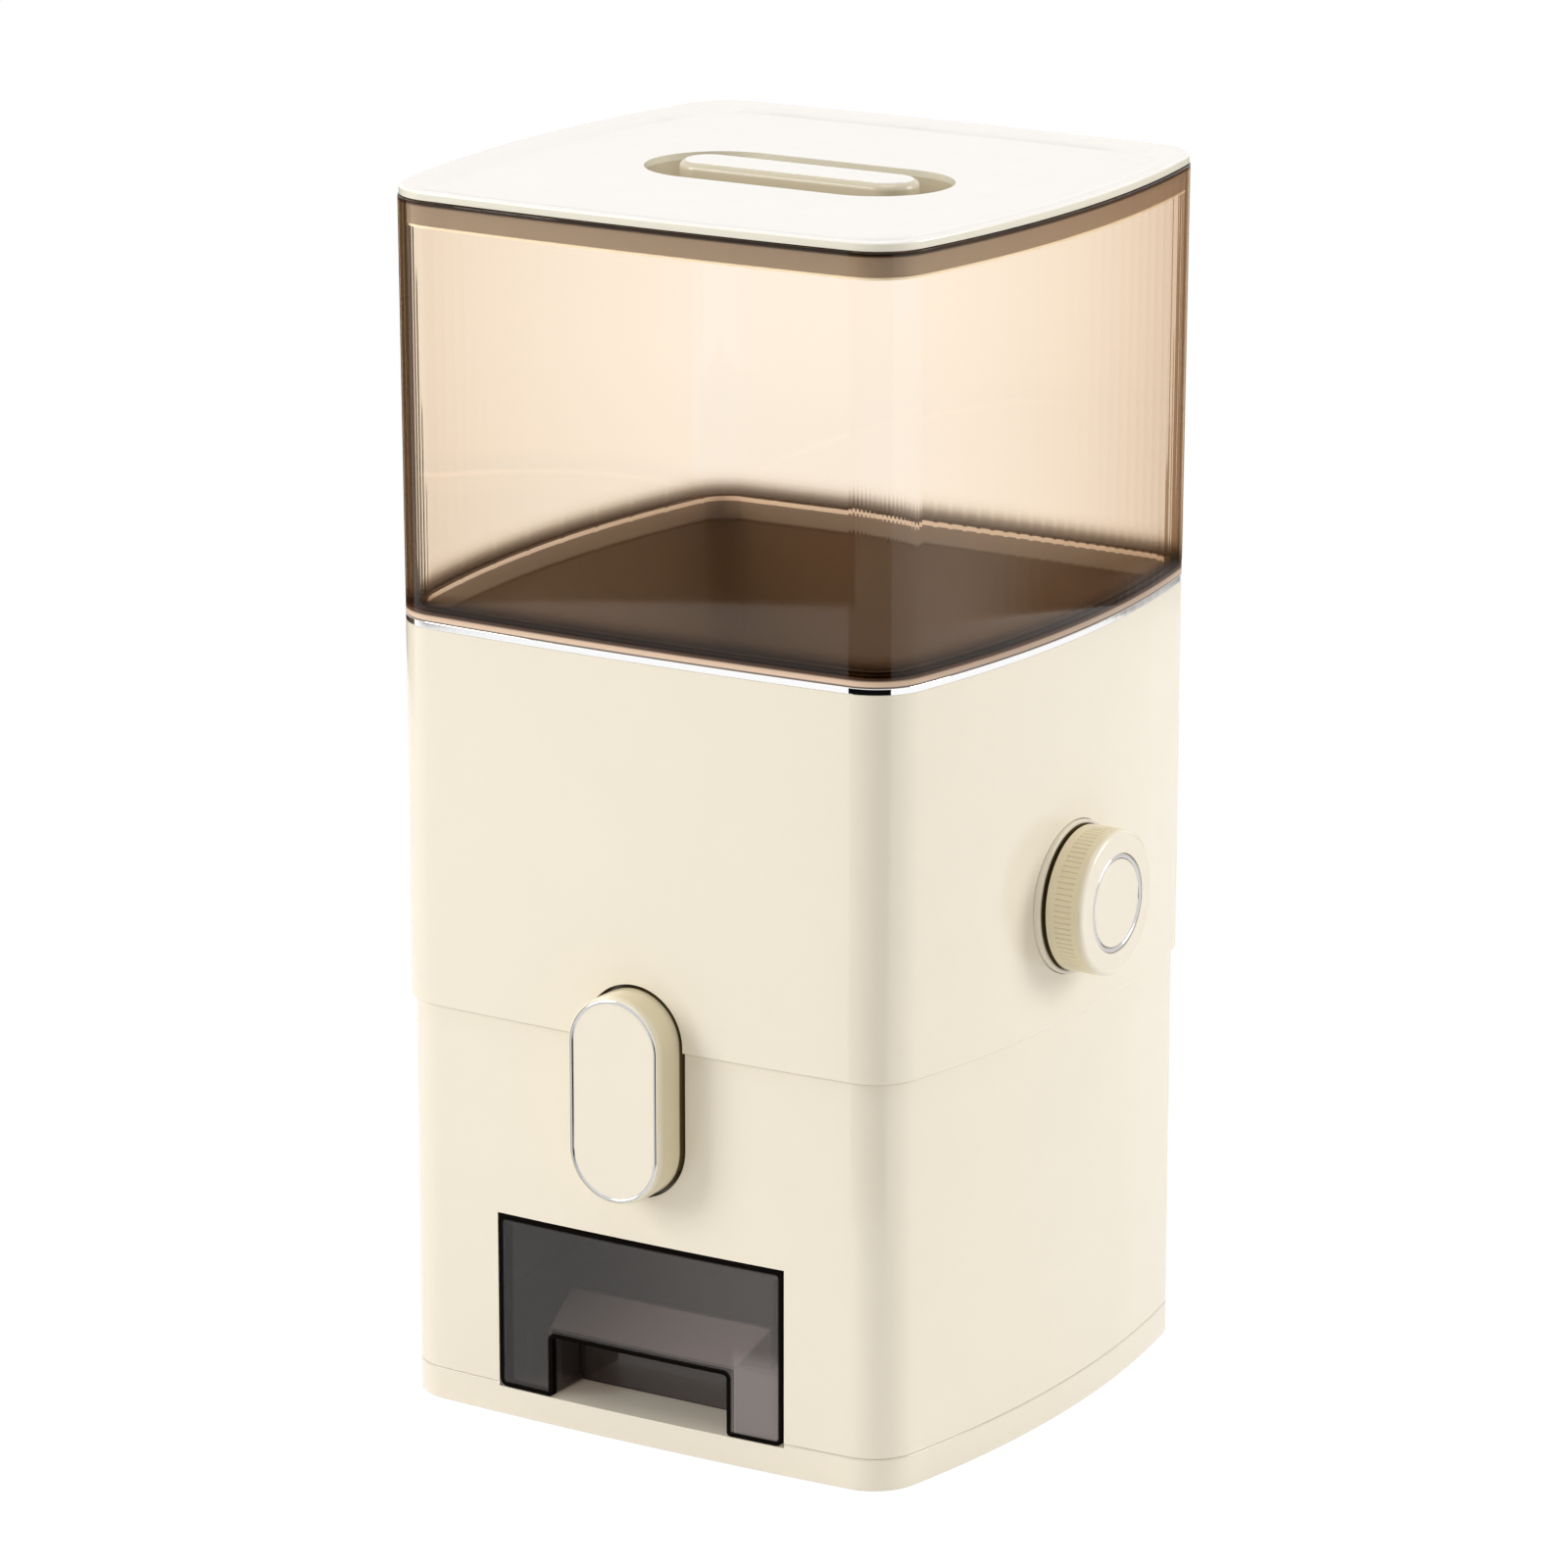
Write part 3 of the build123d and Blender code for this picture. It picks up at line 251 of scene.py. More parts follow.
def moulded(name, colour, rough, peel=0.03, coat=0.0):
    """Moulded plastic: faint flow marks in its colour and gloss, and a fine skin."""
    finish = surfaced(name, {"IOR": 1.5, "Coat Weight": coat, "Coat Roughness": 0.06})
    tree = finish.node_tree
    shader = tree.nodes["Principled BSDF"]
    flow = marked_gloss(finish, 40.0, 3.0, rough * 0.85, rough * 1.15)
    low, high = [tuple(min(1.0, part * share) for part in colour) for share in (0.985, 1.012)]
    tree.links.new(mixed(finish, flow, low, high), shader.inputs["Base Color"])
    where = wired(tree, "ShaderNodeTexCoord", {})["Object"]
    grain = wired(tree, "ShaderNodeTexNoise", {"Vector": where, "Scale": 900.0, "Detail": 2.0})["Fac"]
    skin = {"Height": grain, "Strength": peel, "Distance": 0.3 * mm}
    relief = wired(tree, "ShaderNodeBump", skin)["Normal"]
    tree.links.new(relief, shader.inputs["Normal"])
    return finish


def overlaid(finish, amount, colour):
    """Cover the colour of a moulded plastic with another where amount is 1."""
    shader = finish.node_tree.nodes["Principled BSDF"]
    under = shader.inputs["Base Color"].links[0].from_socket
    finish.node_tree.links.new(mixed(finish, amount, under, colour), shader.inputs["Base Color"])


def parted(finish, kind="Object"):
    """X, Y and Z of a point of the object, or of the way its surface faces."""
    where = wired(finish.node_tree, "ShaderNodeTexCoord", {})[kind]
    return wired(finish.node_tree, "ShaderNodeSeparateXYZ", {0: where})


def risen(finish, value, start, end):
    """0 before start and 1 after end, with a soft change between them."""
    return wired(finish.node_tree, "ShaderNodeMapRange", {"Value": value, "From Min": start, "From Max": end},
                 interpolation_type="SMOOTHSTEP")["Result"]


def beyond(finish, axis, start, end):
    """0 before start and 1 after end along one axis of the object, in metres."""
    return risen(finish, parted(finish)[axis], start, end)


def housing_cream(name, joint_z, reach):
    """The housing's cream, with painted shade at the joint above the piece."""
    finish = moulded(name, cream, 0.16, coat=0.25)
    overlaid(finish, beyond(finish, "Z", joint_z - reach, joint_z - 0.3 * mm), painted_joint_shade)
    return finish


def placed(name, mesh, finish, body, slot, *stands_for):
    """Link a finished mesh, let it ride on its body and stand for its CAD nodes."""
    piece = bpy.data.objects.new(name, mesh)
    scene.collection.objects.link(piece)
    mesh.materials.clear()
    mesh.materials.append(finish)
    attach(piece, body)
    if stands_for:
        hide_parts(*stands_for)
    return piece


def eased_normals(mesh, crease=32):
    """Smooth shading that keeps creases and lets broad faces stay flat."""
    mesh.polygons.foreach_set("use_smooth", [True] * len(mesh.polygons))
    mesh.set_sharp_from_angle(angle=radians(crease))
    holder = bpy.data.objects.new("holder", mesh)
    scene.collection.objects.link(holder)
    weighted = holder.modifiers.new("weighted", "WEIGHTED_NORMAL")
    weighted.keep_sharp = True
    weighted.weight = 60
    bpy.context.view_layer.update()
    ready = bpy.data.meshes.new_from_object(holder.evaluated_get(bpy.context.evaluated_depsgraph_get()))
    bpy.data.objects.remove(holder)
    bpy.data.meshes.remove(mesh)
    return ready


def merged_copy(node):
    """The CAD solid's faces, joined up."""
    mesh = frame["nodes"][node].data.copy()
    work = bmesh.new()
    work.from_mesh(mesh)
    bmesh.ops.remove_doubles(work, verts=work.verts, dist=0.002 * mm)
    work.to_mesh(mesh)
    work.free()
    if "custom_normal" in mesh.attributes:
        mesh.attributes.remove(mesh.attributes["custom_normal"])
    return mesh


body_of = {node: body for body, nodes in frame["record"]["behaviour"]["bodies"].items() for node in nodes}
slot_of = {entry["node"]: entry["material_slot"] for entry in frame["record"]["subparts"]}


def dressed(node, finish):
    """A smooth copy of a CAD node in its own finish, standing for that node."""
    mesh = eased_normals(merged_copy(node))
    return placed(node + "_skin", mesh, finish, body_of[node], slot_of[node], node)


dressed("base_plate", housing_cream("base_cream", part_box("lower_housing")[0][2], 0.9 * mm))
dressed("foot_pads", moulded("soft_pad", (0.23, 0.21, 0.19), 0.65, peel=0.25))

# ---- Drawer runner ----
# U-shaped runner that guides the drawer and stops it. A natural white moulding with a
# dull face, held to the base by four screws.
natural = moulded("natural_abs", (0.80, 0.78, 0.71), 0.4, peel=0.08)
dressed("drawer_guide", natural)

# ---- Lower housing ----
# Cream gloss shell with the drawer mouth and the lower half of the button mouth. The
# base closes it from below, and its top meets the upper housing at the seam.
# Painted shade darkens its top at the seam.
dressed("lower_housing", housing_cream("lower_cream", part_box("upper_housing")[0][2], 1.1 * mm))

# ---- Upper housing ----
# Cream gloss shell with the knob seat and the upper half of the button mouth, screwed
# down on the lower one at the seam.
cream_gloss = moulded("cream_abs", cream, 0.16, coat=0.25)
dressed("upper_housing", cream_gloss)

# ---- Funnel, barrel and outlet ----
# Dark brown funnel moulded with the upper half of the barrel. The lower half, with the
# chute and the slotted outlet, and what turns in it are natural white, the wipers rubber.
dark_brown = moulded("dark_brown_abs", (0.074, 0.043, 0.021), 0.55, peel=0.0)
dark_brown.node_tree.nodes["Principled BSDF"].inputs["Specular IOR Level"].default_value = 0.25


def ramped(finish, value, stops):
    """A colour that changes with a value from 0 to 1, from (value, colour) stops."""
    ramp = finish.node_tree.nodes.new("ShaderNodeValToRGB")
    finish.node_tree.links.new(value, ramp.inputs[0])
    marks = ramp.color_ramp.elements
    for index, (position, colour) in enumerate(stops):
        mark = marks[index] if index < 2 else marks.new(1.0)
        mark.position = position
        mark.color = (*colour, 1.0)
    return ramp.outputs[0]


def by_height(finish, level, stops):
    """A colour that changes with height, from (millimetres above the level, colour) stops."""
    low, high = stops[0][0], stops[-1][0]
    rise = wired(finish.node_tree, "ShaderNodeMapRange", {
        "Value": parted(finish)["Z"], "From Min": level + low * mm, "From Max": level + high * mm})["Result"]
    return ramped(finish, rise, [((height - low) / (high - low), colour) for height, colour in stops])


def grey(depth):
    return depth, depth, depth


def reckon(finish, operation, first, second=0.0):
    """One step of arithmetic; first and second are numbers or sockets."""
    return wired(finish.node_tree, "ShaderNodeMath", {0: first, 1: second}, operation=operation)[0]


def set_against(finish, operation, first, second):
    """One step of arithmetic with points or directions."""
    return wired(finish.node_tree, "ShaderNodeVectorMath", {0: first, 1: second}, operation=operation)


# Painted light: the inner face of the thin lip and its top edge are pale, for the light
# that the clear wall leads down to it.
funnel_lip_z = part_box("hopper_funnel")[1][2] - 1.5 * mm
painted_lip_light = (0.72, 0.63, 0.55)
painted_lip_amount = by_height(dark_brown, funnel_lip_z, [
    (-7.4, grey(0.0)), (-6.4, grey(0.17)), (-0.4, grey(0.21)), (0.0, grey(1.0))])
where = wired(dark_brown.node_tree, "ShaderNodeTexCoord", {})
from_middle = set_against(dark_brown, "MULTIPLY", where["Object"], (1.0, 1.0, 0.0))[0]
outward = set_against(dark_brown, "DOT_PRODUCT", from_middle, where["Normal"])["Value"]
inward = reckon(dark_brown, "LESS_THAN", outward, -0.03)
overlaid(dark_brown, reckon(dark_brown, "MULTIPLY", painted_lip_amount, inward), painted_lip_light)
dressed("hopper_funnel", dark_brown)
for node in ("metering_trough", "shutter_keeper", "metering_rotor", "shaft_bushes"):
    dressed(node, natural)
dressed("rotor_wipers", moulded("wiper_rubber", (0.30, 0.28, 0.26), 0.6, peel=0.2))

# ---- Knob ----
# Ribbed knob on the rotor's steel shaft, fixed by a screw under its cap. Deeper cream on
# the grip as painted shade, cream on the front, a bright bead round its cap, and painted
# shade on its rear edge and the collar for the dark gap behind it.
shaded_side_cream = (0.80, 0.715, 0.50)
painted_gap_shade = (0.13, 0.088, 0.032)


def plated(name, colour, rough, scratch):
    """Bare or plated metal: fine drawn marks in its gloss."""
    finish = surfaced(name, {"Base Color": (*colour, 1.0), "Metallic": 1.0})
    marked_gloss(finish, 600.0, 4.0, rough, rough + scratch)
    return finish


spring_steel = plated("spring_steel", (0.66, 0.66, 0.66), 0.2, 0.1)
for node in ("drive_shaft", "shaft_clip", "detent_spring"):
    dressed(node, spring_steel)
for node in ("detent_wheel", "collar_nut"):
    dressed(node, natural)


def before(finish, axis, start, end):
    """1 before start and 0 after end along one axis of the object, in metres."""
    return reckon(finish, "SUBTRACT", 1.0, beyond(finish, axis, start, end))


knob_low, knob_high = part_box("knob_body")
knob_z = (knob_low[2] + knob_high[2]) / 2
knob_radius = (knob_high[1] - knob_low[1]) / 2
gap_end = knob_low[0] + 0.4 * mm
knob_cream = moulded("knob_cream", shaded_side_cream, 0.2, coat=0.2)
# The front is plain cream; the grip's deeper cream is painted shade.
overlaid(knob_cream, beyond(knob_cream, "X", knob_high[0] - 2.2 * mm, knob_high[0] - 0.3 * mm), cream)
# Painted shade darkens the rear edge for the gap before the collar.
overlaid(knob_cream, before(knob_cream, "X", gap_end, gap_end + 0.1 * mm), painted_gap_shade)
dressed("knob_body", knob_cream)
dressed("knob_cap", cream_gloss)

collar_cream = moulded("collar_cream", cream, 0.18, coat=0.2)
where = wired(collar_cream.node_tree, "ShaderNodeTexCoord", {})["Object"]
flat = set_against(collar_cream, "MULTIPLY", where, (0.0, 1.0, 1.0))[0]
from_axis = set_against(collar_cream, "DISTANCE", flat, (0.0, 0.0, knob_z))["Value"]
# Painted shade: the collar's face behind the knob is dark for the gap.
overlaid(collar_cream, reckon(collar_cream, "LESS_THAN", from_axis, knob_radius + 0.35 * mm), painted_gap_shade)
dressed("knob_collar", collar_cream)


def as_mesh(work, name):
    """Turn the worked faces outward and keep them as a mesh."""
    bmesh.ops.recalc_face_normals(work, faces=work.faces)
    mesh = bpy.data.meshes.new(name)
    work.to_mesh(mesh)
    work.free()
    return mesh


def joined_rings(name, rings):
    """A closed band from rings of points, the last ring joined to the first."""
    work = bmesh.new()
    rows = [[work.verts.new(point) for point in ring] for ring in rings]
    for i, row in enumerate(rows):
        after = rows[(i + 1) % len(rows)]
        for j in range(len(row)):
            k = (j + 1) % len(row)
            work.faces.new((row[j], after[j], after[k], row[k]))
    return as_mesh(work, name)


def carried(name, profile, outline, place):
    """Carry a closed (inset, depth) profile round an outline; place turns it into the frame."""
    steps = 128
    turns = [2 * pi * step / steps for step in range(steps)]
    rings = [[place(*outline(turn, inset), depth) for inset, depth in profile] for turn in turns]
    return joined_rings(name, rings)


def bead(outer, width, front, back):
    """Half-round bead: (inset, depth) points of its section, front and back are depths."""
    steps, foot = 12, 0.35
    points = []
    for step in range(steps + 1):
        turn = pi * step / steps
        swell = foot + (1 - foot) * sin(turn)
        points.append((outer + width / 2 * (1 - cos(turn)), back + (front - back) * swell))
    return points + [(outer + width, back), (outer, back)]


soft_chrome = plated("soft_chrome", (0.64, 0.63, 0.64), 0.07, 0.04)
ring_low, ring_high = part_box("knob_trim_ring")
ring_radius = (ring_high[1] - ring_low[1]) / 2
ring_mesh = carried(
    "knob_ring", bead(-0.1 * mm, 2.1 * mm, knob_high[0], ring_low[0]),
    lambda turn, inset: ((ring_radius - inset) * cos(turn), (ring_radius - inset) * sin(turn)),
    lambda u, v, depth: (depth, u, knob_z + v))
ring_slot = slot_of["knob_trim_ring"]
placed("knob_ring", eased_normals(ring_mesh), soft_chrome, "knob", ring_slot, "knob_trim_ring")

# ---- Button ----
# Full-round push button with a soft front edge, which drives the slotted shutter back
# against two springs. Its stop flange is in the mouth, where painted shade darkens it.
dressed("button_guide", natural)
dressed("shutter_gate", natural)
springs = dressed("button_springs", spring_steel)
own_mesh(springs)

button_front, mouth_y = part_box("button_body")[0][1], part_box("upper_housing")[0][1]
cad_edge, soft_edge = 0.8 * mm, 3.4 * mm
button_cream = moulded("button_cream", shaded_side_cream, 0.2, coat=0.2)
# Painted light pales the soft front edge; the deeper cream of the sides is painted shade.
painted_front_light = before(button_cream, "Y", button_front + 0.6 * mm, button_front + soft_edge)
overlaid(button_cream, painted_front_light, (0.88, 0.815, 0.64))
# Painted shade darkens the body inside the mouth.
overlaid(button_cream, beyond(button_cream, "Y", mouth_y - 0.4 * mm, mouth_y + 0.6 * mm), painted_gap_shade)

face_low, face_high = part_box("button_trim_ring")
face_half, button_half, button_mid_z = face_high[0], 19.0 * mm, (face_low[2] + face_high[2]) / 2
straight = (face_high[2] - face_low[2]) / 2 - face_half
edge_depth, edge_inset = 0.85 * mm, 0.9 * mm
button_mesh = merged_copy("button_body")
for vertex in button_mesh.vertices:
    rise = max(abs(vertex.co.z - button_mid_z) - straight, 0.0)
    inset = button_half - hypot(vertex.co.x, rise)
    depth = vertex.co.y - button_front
    if depth < edge_depth and inset < edge_inset:
        vertex.co.y = button_front + depth * soft_edge / cad_edge
button_slot = slot_of["button_body"]
placed("button_shell", eased_normals(button_mesh, 40), button_cream, "button", button_slot, "button_body")
dressed("button_face", cream_gloss)


def button_outline(turn, inset):
    radius = face_half - inset
    return radius * cos(turn), radius * sin(turn) + (straight if sin(turn) >= 0 else -straight)


ring_mesh = carried(
    "button_ring", bead(-0.3 * mm, 1.8 * mm, face_low[1] + 0.05 * mm, face_high[1]), button_outline,
    lambda u, v, depth: (u, depth, button_mid_z + v))
ring_slot = slot_of["button_trim_ring"]
placed("button_ring", eased_normals(ring_mesh), soft_chrome, "button", ring_slot, "button_trim_ring")

# ---- Drawer ----
# One clear moulding in smoky grey, polished inside and out, that slides in from the
# front. Painted shade darkens its rim and the edge round the finger notch.


def clear(name, absorb, rough=0.02, ior=1.46):
    """Tinted clear plastic: absorb is the loss per metre in red, green and blue."""
    finish = surfaced(name, {"Transmission Weight": 1.0, "Base Color": (1.0, 1.0, 1.0, 1.0), "IOR": ior})
    marked_gloss(finish, 25.0, 2.0, rough * 0.7, rough * 1.3)
    tree = finish.node_tree
    wall_seen = 1.5 * mm
    through = tuple(exp(-loss * wall_seen) for loss in absorb)
    open_way = wired(tree, "ShaderNodeBsdfTransparent", {"Color": through})[0]
    look = tree.nodes["Principled BSDF"].outputs[0]
    for_light = wired(tree, "ShaderNodeLightPath", {})["Is Shadow Ray"]
    choose = wired(tree, "ShaderNodeMixShader", {0: for_light, 1: look, 2: open_way},
                   name="light or look")[0]
    density = max(absorb)
    passed = tuple(1 - loss / density for loss in absorb)
    body = wired(tree, "ShaderNodeVolumeAbsorption", {"Color": passed, "Density": density})[0]
    out = tree.nodes["Material Output"]
    tree.links.new(choose, out.inputs["Surface"])
    tree.links.new(body, out.inputs["Volume"])
    return finish


def veiled(finish, colour, amount, rough=0.3, shine=0.5):
    """Lay a solid shade over a clear plastic: colour and amount are values or sockets."""
    tree = finish.node_tree
    haze = wired(tree, "ShaderNodeBsdfPrincipled",
                 {"Base Color": colour, "Roughness": rough, "Specular IOR Level": shine})[0]
    choose = tree.nodes["light or look"]
    look = choose.inputs[1].links[0].from_socket
    cloud = wired(tree, "ShaderNodeMixShader", {0: amount, 1: look, 2: haze})[0]
    tree.links.new(cloud, choose.inputs[1])


def from_outline(finish, centre_z, half_x, half_z, corner):
    """How far a point lies outside an upright rounded rectangle across the front."""
    place = parted(finish)
    beyond_x = reckon(finish, "SUBTRACT", reckon(finish, "ABSOLUTE", place["X"]), half_x - corner)
    rise = reckon(finish, "ABSOLUTE", reckon(finish, "SUBTRACT", place["Z"], centre_z))
    beyond_z = reckon(finish, "SUBTRACT", rise, half_z - corner)
    square_x = reckon(finish, "POWER", reckon(finish, "MAXIMUM", beyond_x, 0.0), 2.0)
    square_z = reckon(finish, "POWER", reckon(finish, "MAXIMUM", beyond_z, 0.0), 2.0)
    outside = reckon(finish, "SQRT", reckon(finish, "ADD", square_x, square_z))
    inside = reckon(finish, "MINIMUM", reckon(finish, "MAXIMUM", beyond_x, beyond_z), 0.0)
    return reckon(finish, "SUBTRACT", reckon(finish, "ADD", outside, inside), corner)


drawer_low, drawer_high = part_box("drawer")
drawer_half, drawer_front = drawer_high[0], drawer_low[1]
notch_half, notch_top = 37.0 * mm, 33.5 * mm
smoke = clear("smoke_clear", (42, 52, 56))
veiled(smoke, (0.030, 0.024, 0.020), 0.32)
# Painted reflection: a lighter veil rises towards the right of the front and in the
# narrow leg there.
painted_reflection_reach = beyond(smoke, "X", -35.0 * mm, drawer_half)
veiled(smoke, (0.26, 0.23, 0.215), reckon(smoke, "MULTIPLY", painted_reflection_reach, 0.14), rough=0.2)
past_notch = beyond(smoke, "X", notch_half + 1.4 * mm, notch_half + 4.4 * mm)
below_front = before(smoke, "Z", notch_top + 1.0 * mm, notch_top + 13.0 * mm)
leg_reflection_place = reckon(smoke, "MULTIPLY", past_notch, below_front)
veiled(smoke, (0.36, 0.31, 0.30), reckon(smoke, "MULTIPLY", leg_reflection_place, 0.42), rough=0.2)
# Painted shade: a dark rim on the front, near its outline or round the notch, but not in the notch.
middle_z, half_z = (drawer_low[2] + drawer_high[2]) / 2, (drawer_high[2] - drawer_low[2]) / 2
from_rim = from_outline(smoke, middle_z, drawer_half, half_z, 3.0 * mm)
from_notch = from_outline(smoke, 0.0, notch_half, notch_top, 1.5 * mm)
from_edge = reckon(smoke, "MINIMUM", reckon(smoke, "MULTIPLY", from_rim, -1.0), from_notch)
painted_rim_shade = reckon(smoke, "SUBTRACT", 1.0, risen(smoke, from_edge, 1.4 * mm, 2.3 * mm))
beside_notch = reckon(smoke, "GREATER_THAN", from_notch, -0.2 * mm)
in_front = before(smoke, "Y", drawer_front + 2.4 * mm, drawer_front + 4.0 * mm)
rim_place = reckon(smoke, "MULTIPLY", beside_notch, in_front)
painted_rim_amount = reckon(smoke, "MULTIPLY", painted_rim_shade, rim_place)
veiled(smoke, (0.0055, 0.0045, 0.0038), painted_rim_amount, rough=0.35, shine=0.0)
dressed("drawer", smoke)

# ---- Finger recess ----
# Frosted smoky hood behind the drawer's notch, with a sloping roof. Its frost is painted
# dark on the left and pale on the right as light and shade, and painted shade darkens
# its back. It is moulded with the drawer and moves with it.
recess_half, recess_front, recess_back = 39.8 * mm, -104.9 * mm, -84.2 * mm
recess_low, recess_front_top, recess_back_top = 11.0 * mm, 36.2 * mm, 46.0 * mm
recess_wall, recess_flare, recess_round = 1.0 * mm, 3.0 * mm, 1.2 * mm
frosted_smoke = clear("frosted_smoke", (60, 70, 74), rough=0.3)
# Painted light and shade: the frost runs from dark on the left to pale on the right.
painted_light_side = beyond(frosted_smoke, "X", -recess_half - 14.0 * mm, recess_half)
frost = mixed(frosted_smoke, painted_light_side, (0.14, 0.12, 0.11), (0.72, 0.61, 0.575))
veiled(frosted_smoke, frost, 0.85, rough=0.45)
# Painted shade darkens the back.
painted_back_place = beyond(frosted_smoke, "Y", recess_back - 2.2 * mm, recess_back - 1.2 * mm)
painted_back_amount = reckon(frosted_smoke, "MULTIPLY", painted_back_place, 0.94)
veiled(frosted_smoke, (0.040, 0.030, 0.026), painted_back_amount, rough=0.5, shine=0.1)

# Corners: foot and top in front, foot and top behind, on the left and then on the right.
hood = bmesh.new()
corners = []
hood_ends = ((recess_front, recess_front_top, 0.0), (recess_back, recess_back_top, recess_flare))
for side in (-1, 1):
    for y, top, flare in hood_ends:
        x = side * (recess_half + flare)
        corners += [hood.verts.new((x, y, recess_low)), hood.verts.new((x, y, top))]
left_wall, right_wall, roof, back_wall = (0, 1, 3, 2), (4, 6, 7, 5), (1, 5, 7, 3), (2, 3, 7, 6)
for wall in (left_wall, right_wall, roof, back_wall):
    hood.faces.new([corners[i] for i in wall])
bmesh.ops.recalc_face_normals(hood, faces=hood.faces)
folds = [edge for edge in hood.edges if not edge.is_boundary]
bmesh.ops.bevel(hood, geom=folds, offset=recess_round, segments=3, affect="EDGES", profile=0.5)
bmesh.ops.solidify(hood, geom=hood.faces[:], thickness=recess_wall)
recess_mesh = eased_normals(as_mesh(hood, "drawer_recess"))
placed("drawer_recess", recess_mesh, frosted_smoke, "drawer", slot_of["drawer"], "drawer")

# ---- Chrome band ----
# A plated strip between the housing and the bin, its outer edges just broken. Like the
# shells it follows a bowed outline: shallow arcs for walls, which meet in round corners.
chrome = plated("bright_chrome", (0.93, 0.93, 0.93), 0.03, 0.02)
band_low, band_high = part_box("chrome_band")
plan_half_x, plan_half_y = band_high[:2]
front_rise, side_rise, plan_corner = 2.6 * mm, 9.4 * mm, 20.4 * mm


def bow_radius(half_span, rise):
    return ((half_span - plan_corner) ** 2 + rise ** 2) / (2 * rise) + plan_corner


front_bow, side_bow = bow_radius(plan_half_x, front_rise), bow_radius(plan_half_y, side_rise)
front_eye, side_eye = front_bow - plan_half_y, side_bow - plan_half_x
# The corner's centre is where the two bows, both less the corner's radius, cross.
span = hypot(side_eye, front_eye)
along = ((front_bow - plan_corner) ** 2 - (side_bow - plan_corner) ** 2 + span ** 2) / (2 * span)
across = sqrt((front_bow - plan_corner) ** 2 - along ** 2)
corner_x = (front_eye * across - side_eye * along) / span
corner_y = front_eye - (front_eye * along + side_eye * across) / span
front_end = atan2(corner_x, front_eye - corner_y)
side_start = atan2(corner_x + side_eye, -corner_y)


def plan_point(turn, inset):
    """The point of the bowed outline, set in by inset, whose wall faces this way."""
    part = atan2(abs(sin(turn)), abs(cos(turn)))
    if part < front_end:
        x, y = (front_bow - inset) * sin(part), front_eye - (front_bow - inset) * cos(part)
    elif part < side_start:
        x, y = corner_x + (plan_corner - inset) * sin(part), corner_y - (plan_corner - inset) * cos(part)
    else:
        x, y = (side_bow - inset) * sin(part) - side_eye, -(side_bow - inset) * cos(part)
    return (x if sin(turn) >= 0 else -x), (y if cos(turn) >= 0 else -y)


def quarter_turns():
    """Wall directions round one quarter: a few on the bows, many on the corner."""
    turns = []
    for start, end, count in ((0, front_end, 6), (front_end, side_start, 18), (side_start, pi / 2, 12)):
        turns += [start + (end - start) * i / count for i in range(count)]
    return turns


outline_turns = [quarter * pi / 2 + turn for quarter in (0, 2) for turn in quarter_turns()]
outline_turns += [quarter * pi / 2 - turn for quarter in (2, 4) for turn in quarter_turns()]
outline_turns = sorted({round(turn % (2 * pi), 9) for turn in outline_turns} | {pi / 2, 3 * pi / 2})


def eased(profile, radius):
    """Round the corners of a closed (inset, height) profile."""
    steps, result = 4, []
    for i, point in enumerate(profile):
        here = Vector(point)
        back, ahead = Vector(profile[i - 1]) - here, Vector(profile[(i + 1) % len(profile)]) - here
        cut = min(radius, back.length * 0.45, ahead.length * 0.45)
        start, end = here + back.normalized() * cut, here + ahead.normalized() * cut
        for step in range(steps + 1):
            t = step / steps
            result.append((1 - t) ** 2 * start + 2 * t * (1 - t) * here + t ** 2 * end)
    return result


def swept(name, profile):
    """Carry a closed (inset, height) profile round the bowed outline."""
    rings = [[(*plan_point(turn, inset), z) for inset, z in profile] for turn in outline_turns]
    return joined_rings(name, rings)


band_wall = 2.8 * mm
band_profile = [(0.0, band_low[2]), (0.0, band_high[2]), (band_wall, band_high[2]), (band_wall, band_low[2])]
placed("chrome_strip", swept("chrome_band", eased(band_profile, 0.3 * mm)), chrome, body_of["chrome_band"],
       slot_of["chrome_band"], "chrome_band")

# ---- Bin ----
# A see-through brown tub without a floor, moulded in one and snapped over the funnel's
# lip. A rubber seal closes the joint under its foot.
bin_low, bin_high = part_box("storage_bin")
bin_foot_z, bin_rim_z = band_high[2], bin_high[2]
bin_wall, bin_flare, ledge_z = 3.0 * mm, 0.85 * mm, bin_foot_z + 4.1 * mm
spigot_out, spigot_in = 3.1 * mm, 5.3 * mm
bin_profile = [
    (0.0, bin_foot_z), (-bin_flare, bin_rim_z), (bin_wall - bin_flare, bin_rim_z), (bin_wall, ledge_z),
    (spigot_in, ledge_z), (spigot_in, bin_low[2]), (spigot_out, bin_low[2]), (spigot_out, bin_foot_z)]
bin_mesh = swept("storage_bin", eased(bin_profile, 0.5 * mm))
brown_clear = clear("brown_clear", (1, 22, 50), ior=1.33)
# Painted shade darkens the wall's tint towards the foot and at the rim.
painted_foot_shade = by_height(brown_clear, bin_foot_z, [
    (3.1, (0.085, 0.063, 0.045)), (4.5, (0.12, 0.09, 0.07)), (5.5, (0.17, 0.138, 0.11)),
    (7.2, (0.36, 0.32, 0.28)), (8.6, (0.63, 0.59, 0.55)), (10.7, (0.89, 0.87, 0.84)),
    (12.5, (0.97, 0.96, 0.95)), (15.1, grey(1.0))])
painted_bin_rim_shade = by_height(brown_clear, bin_rim_z, [(-1.9, grey(1.0)), (-1.3, (0.10, 0.06, 0.035))])
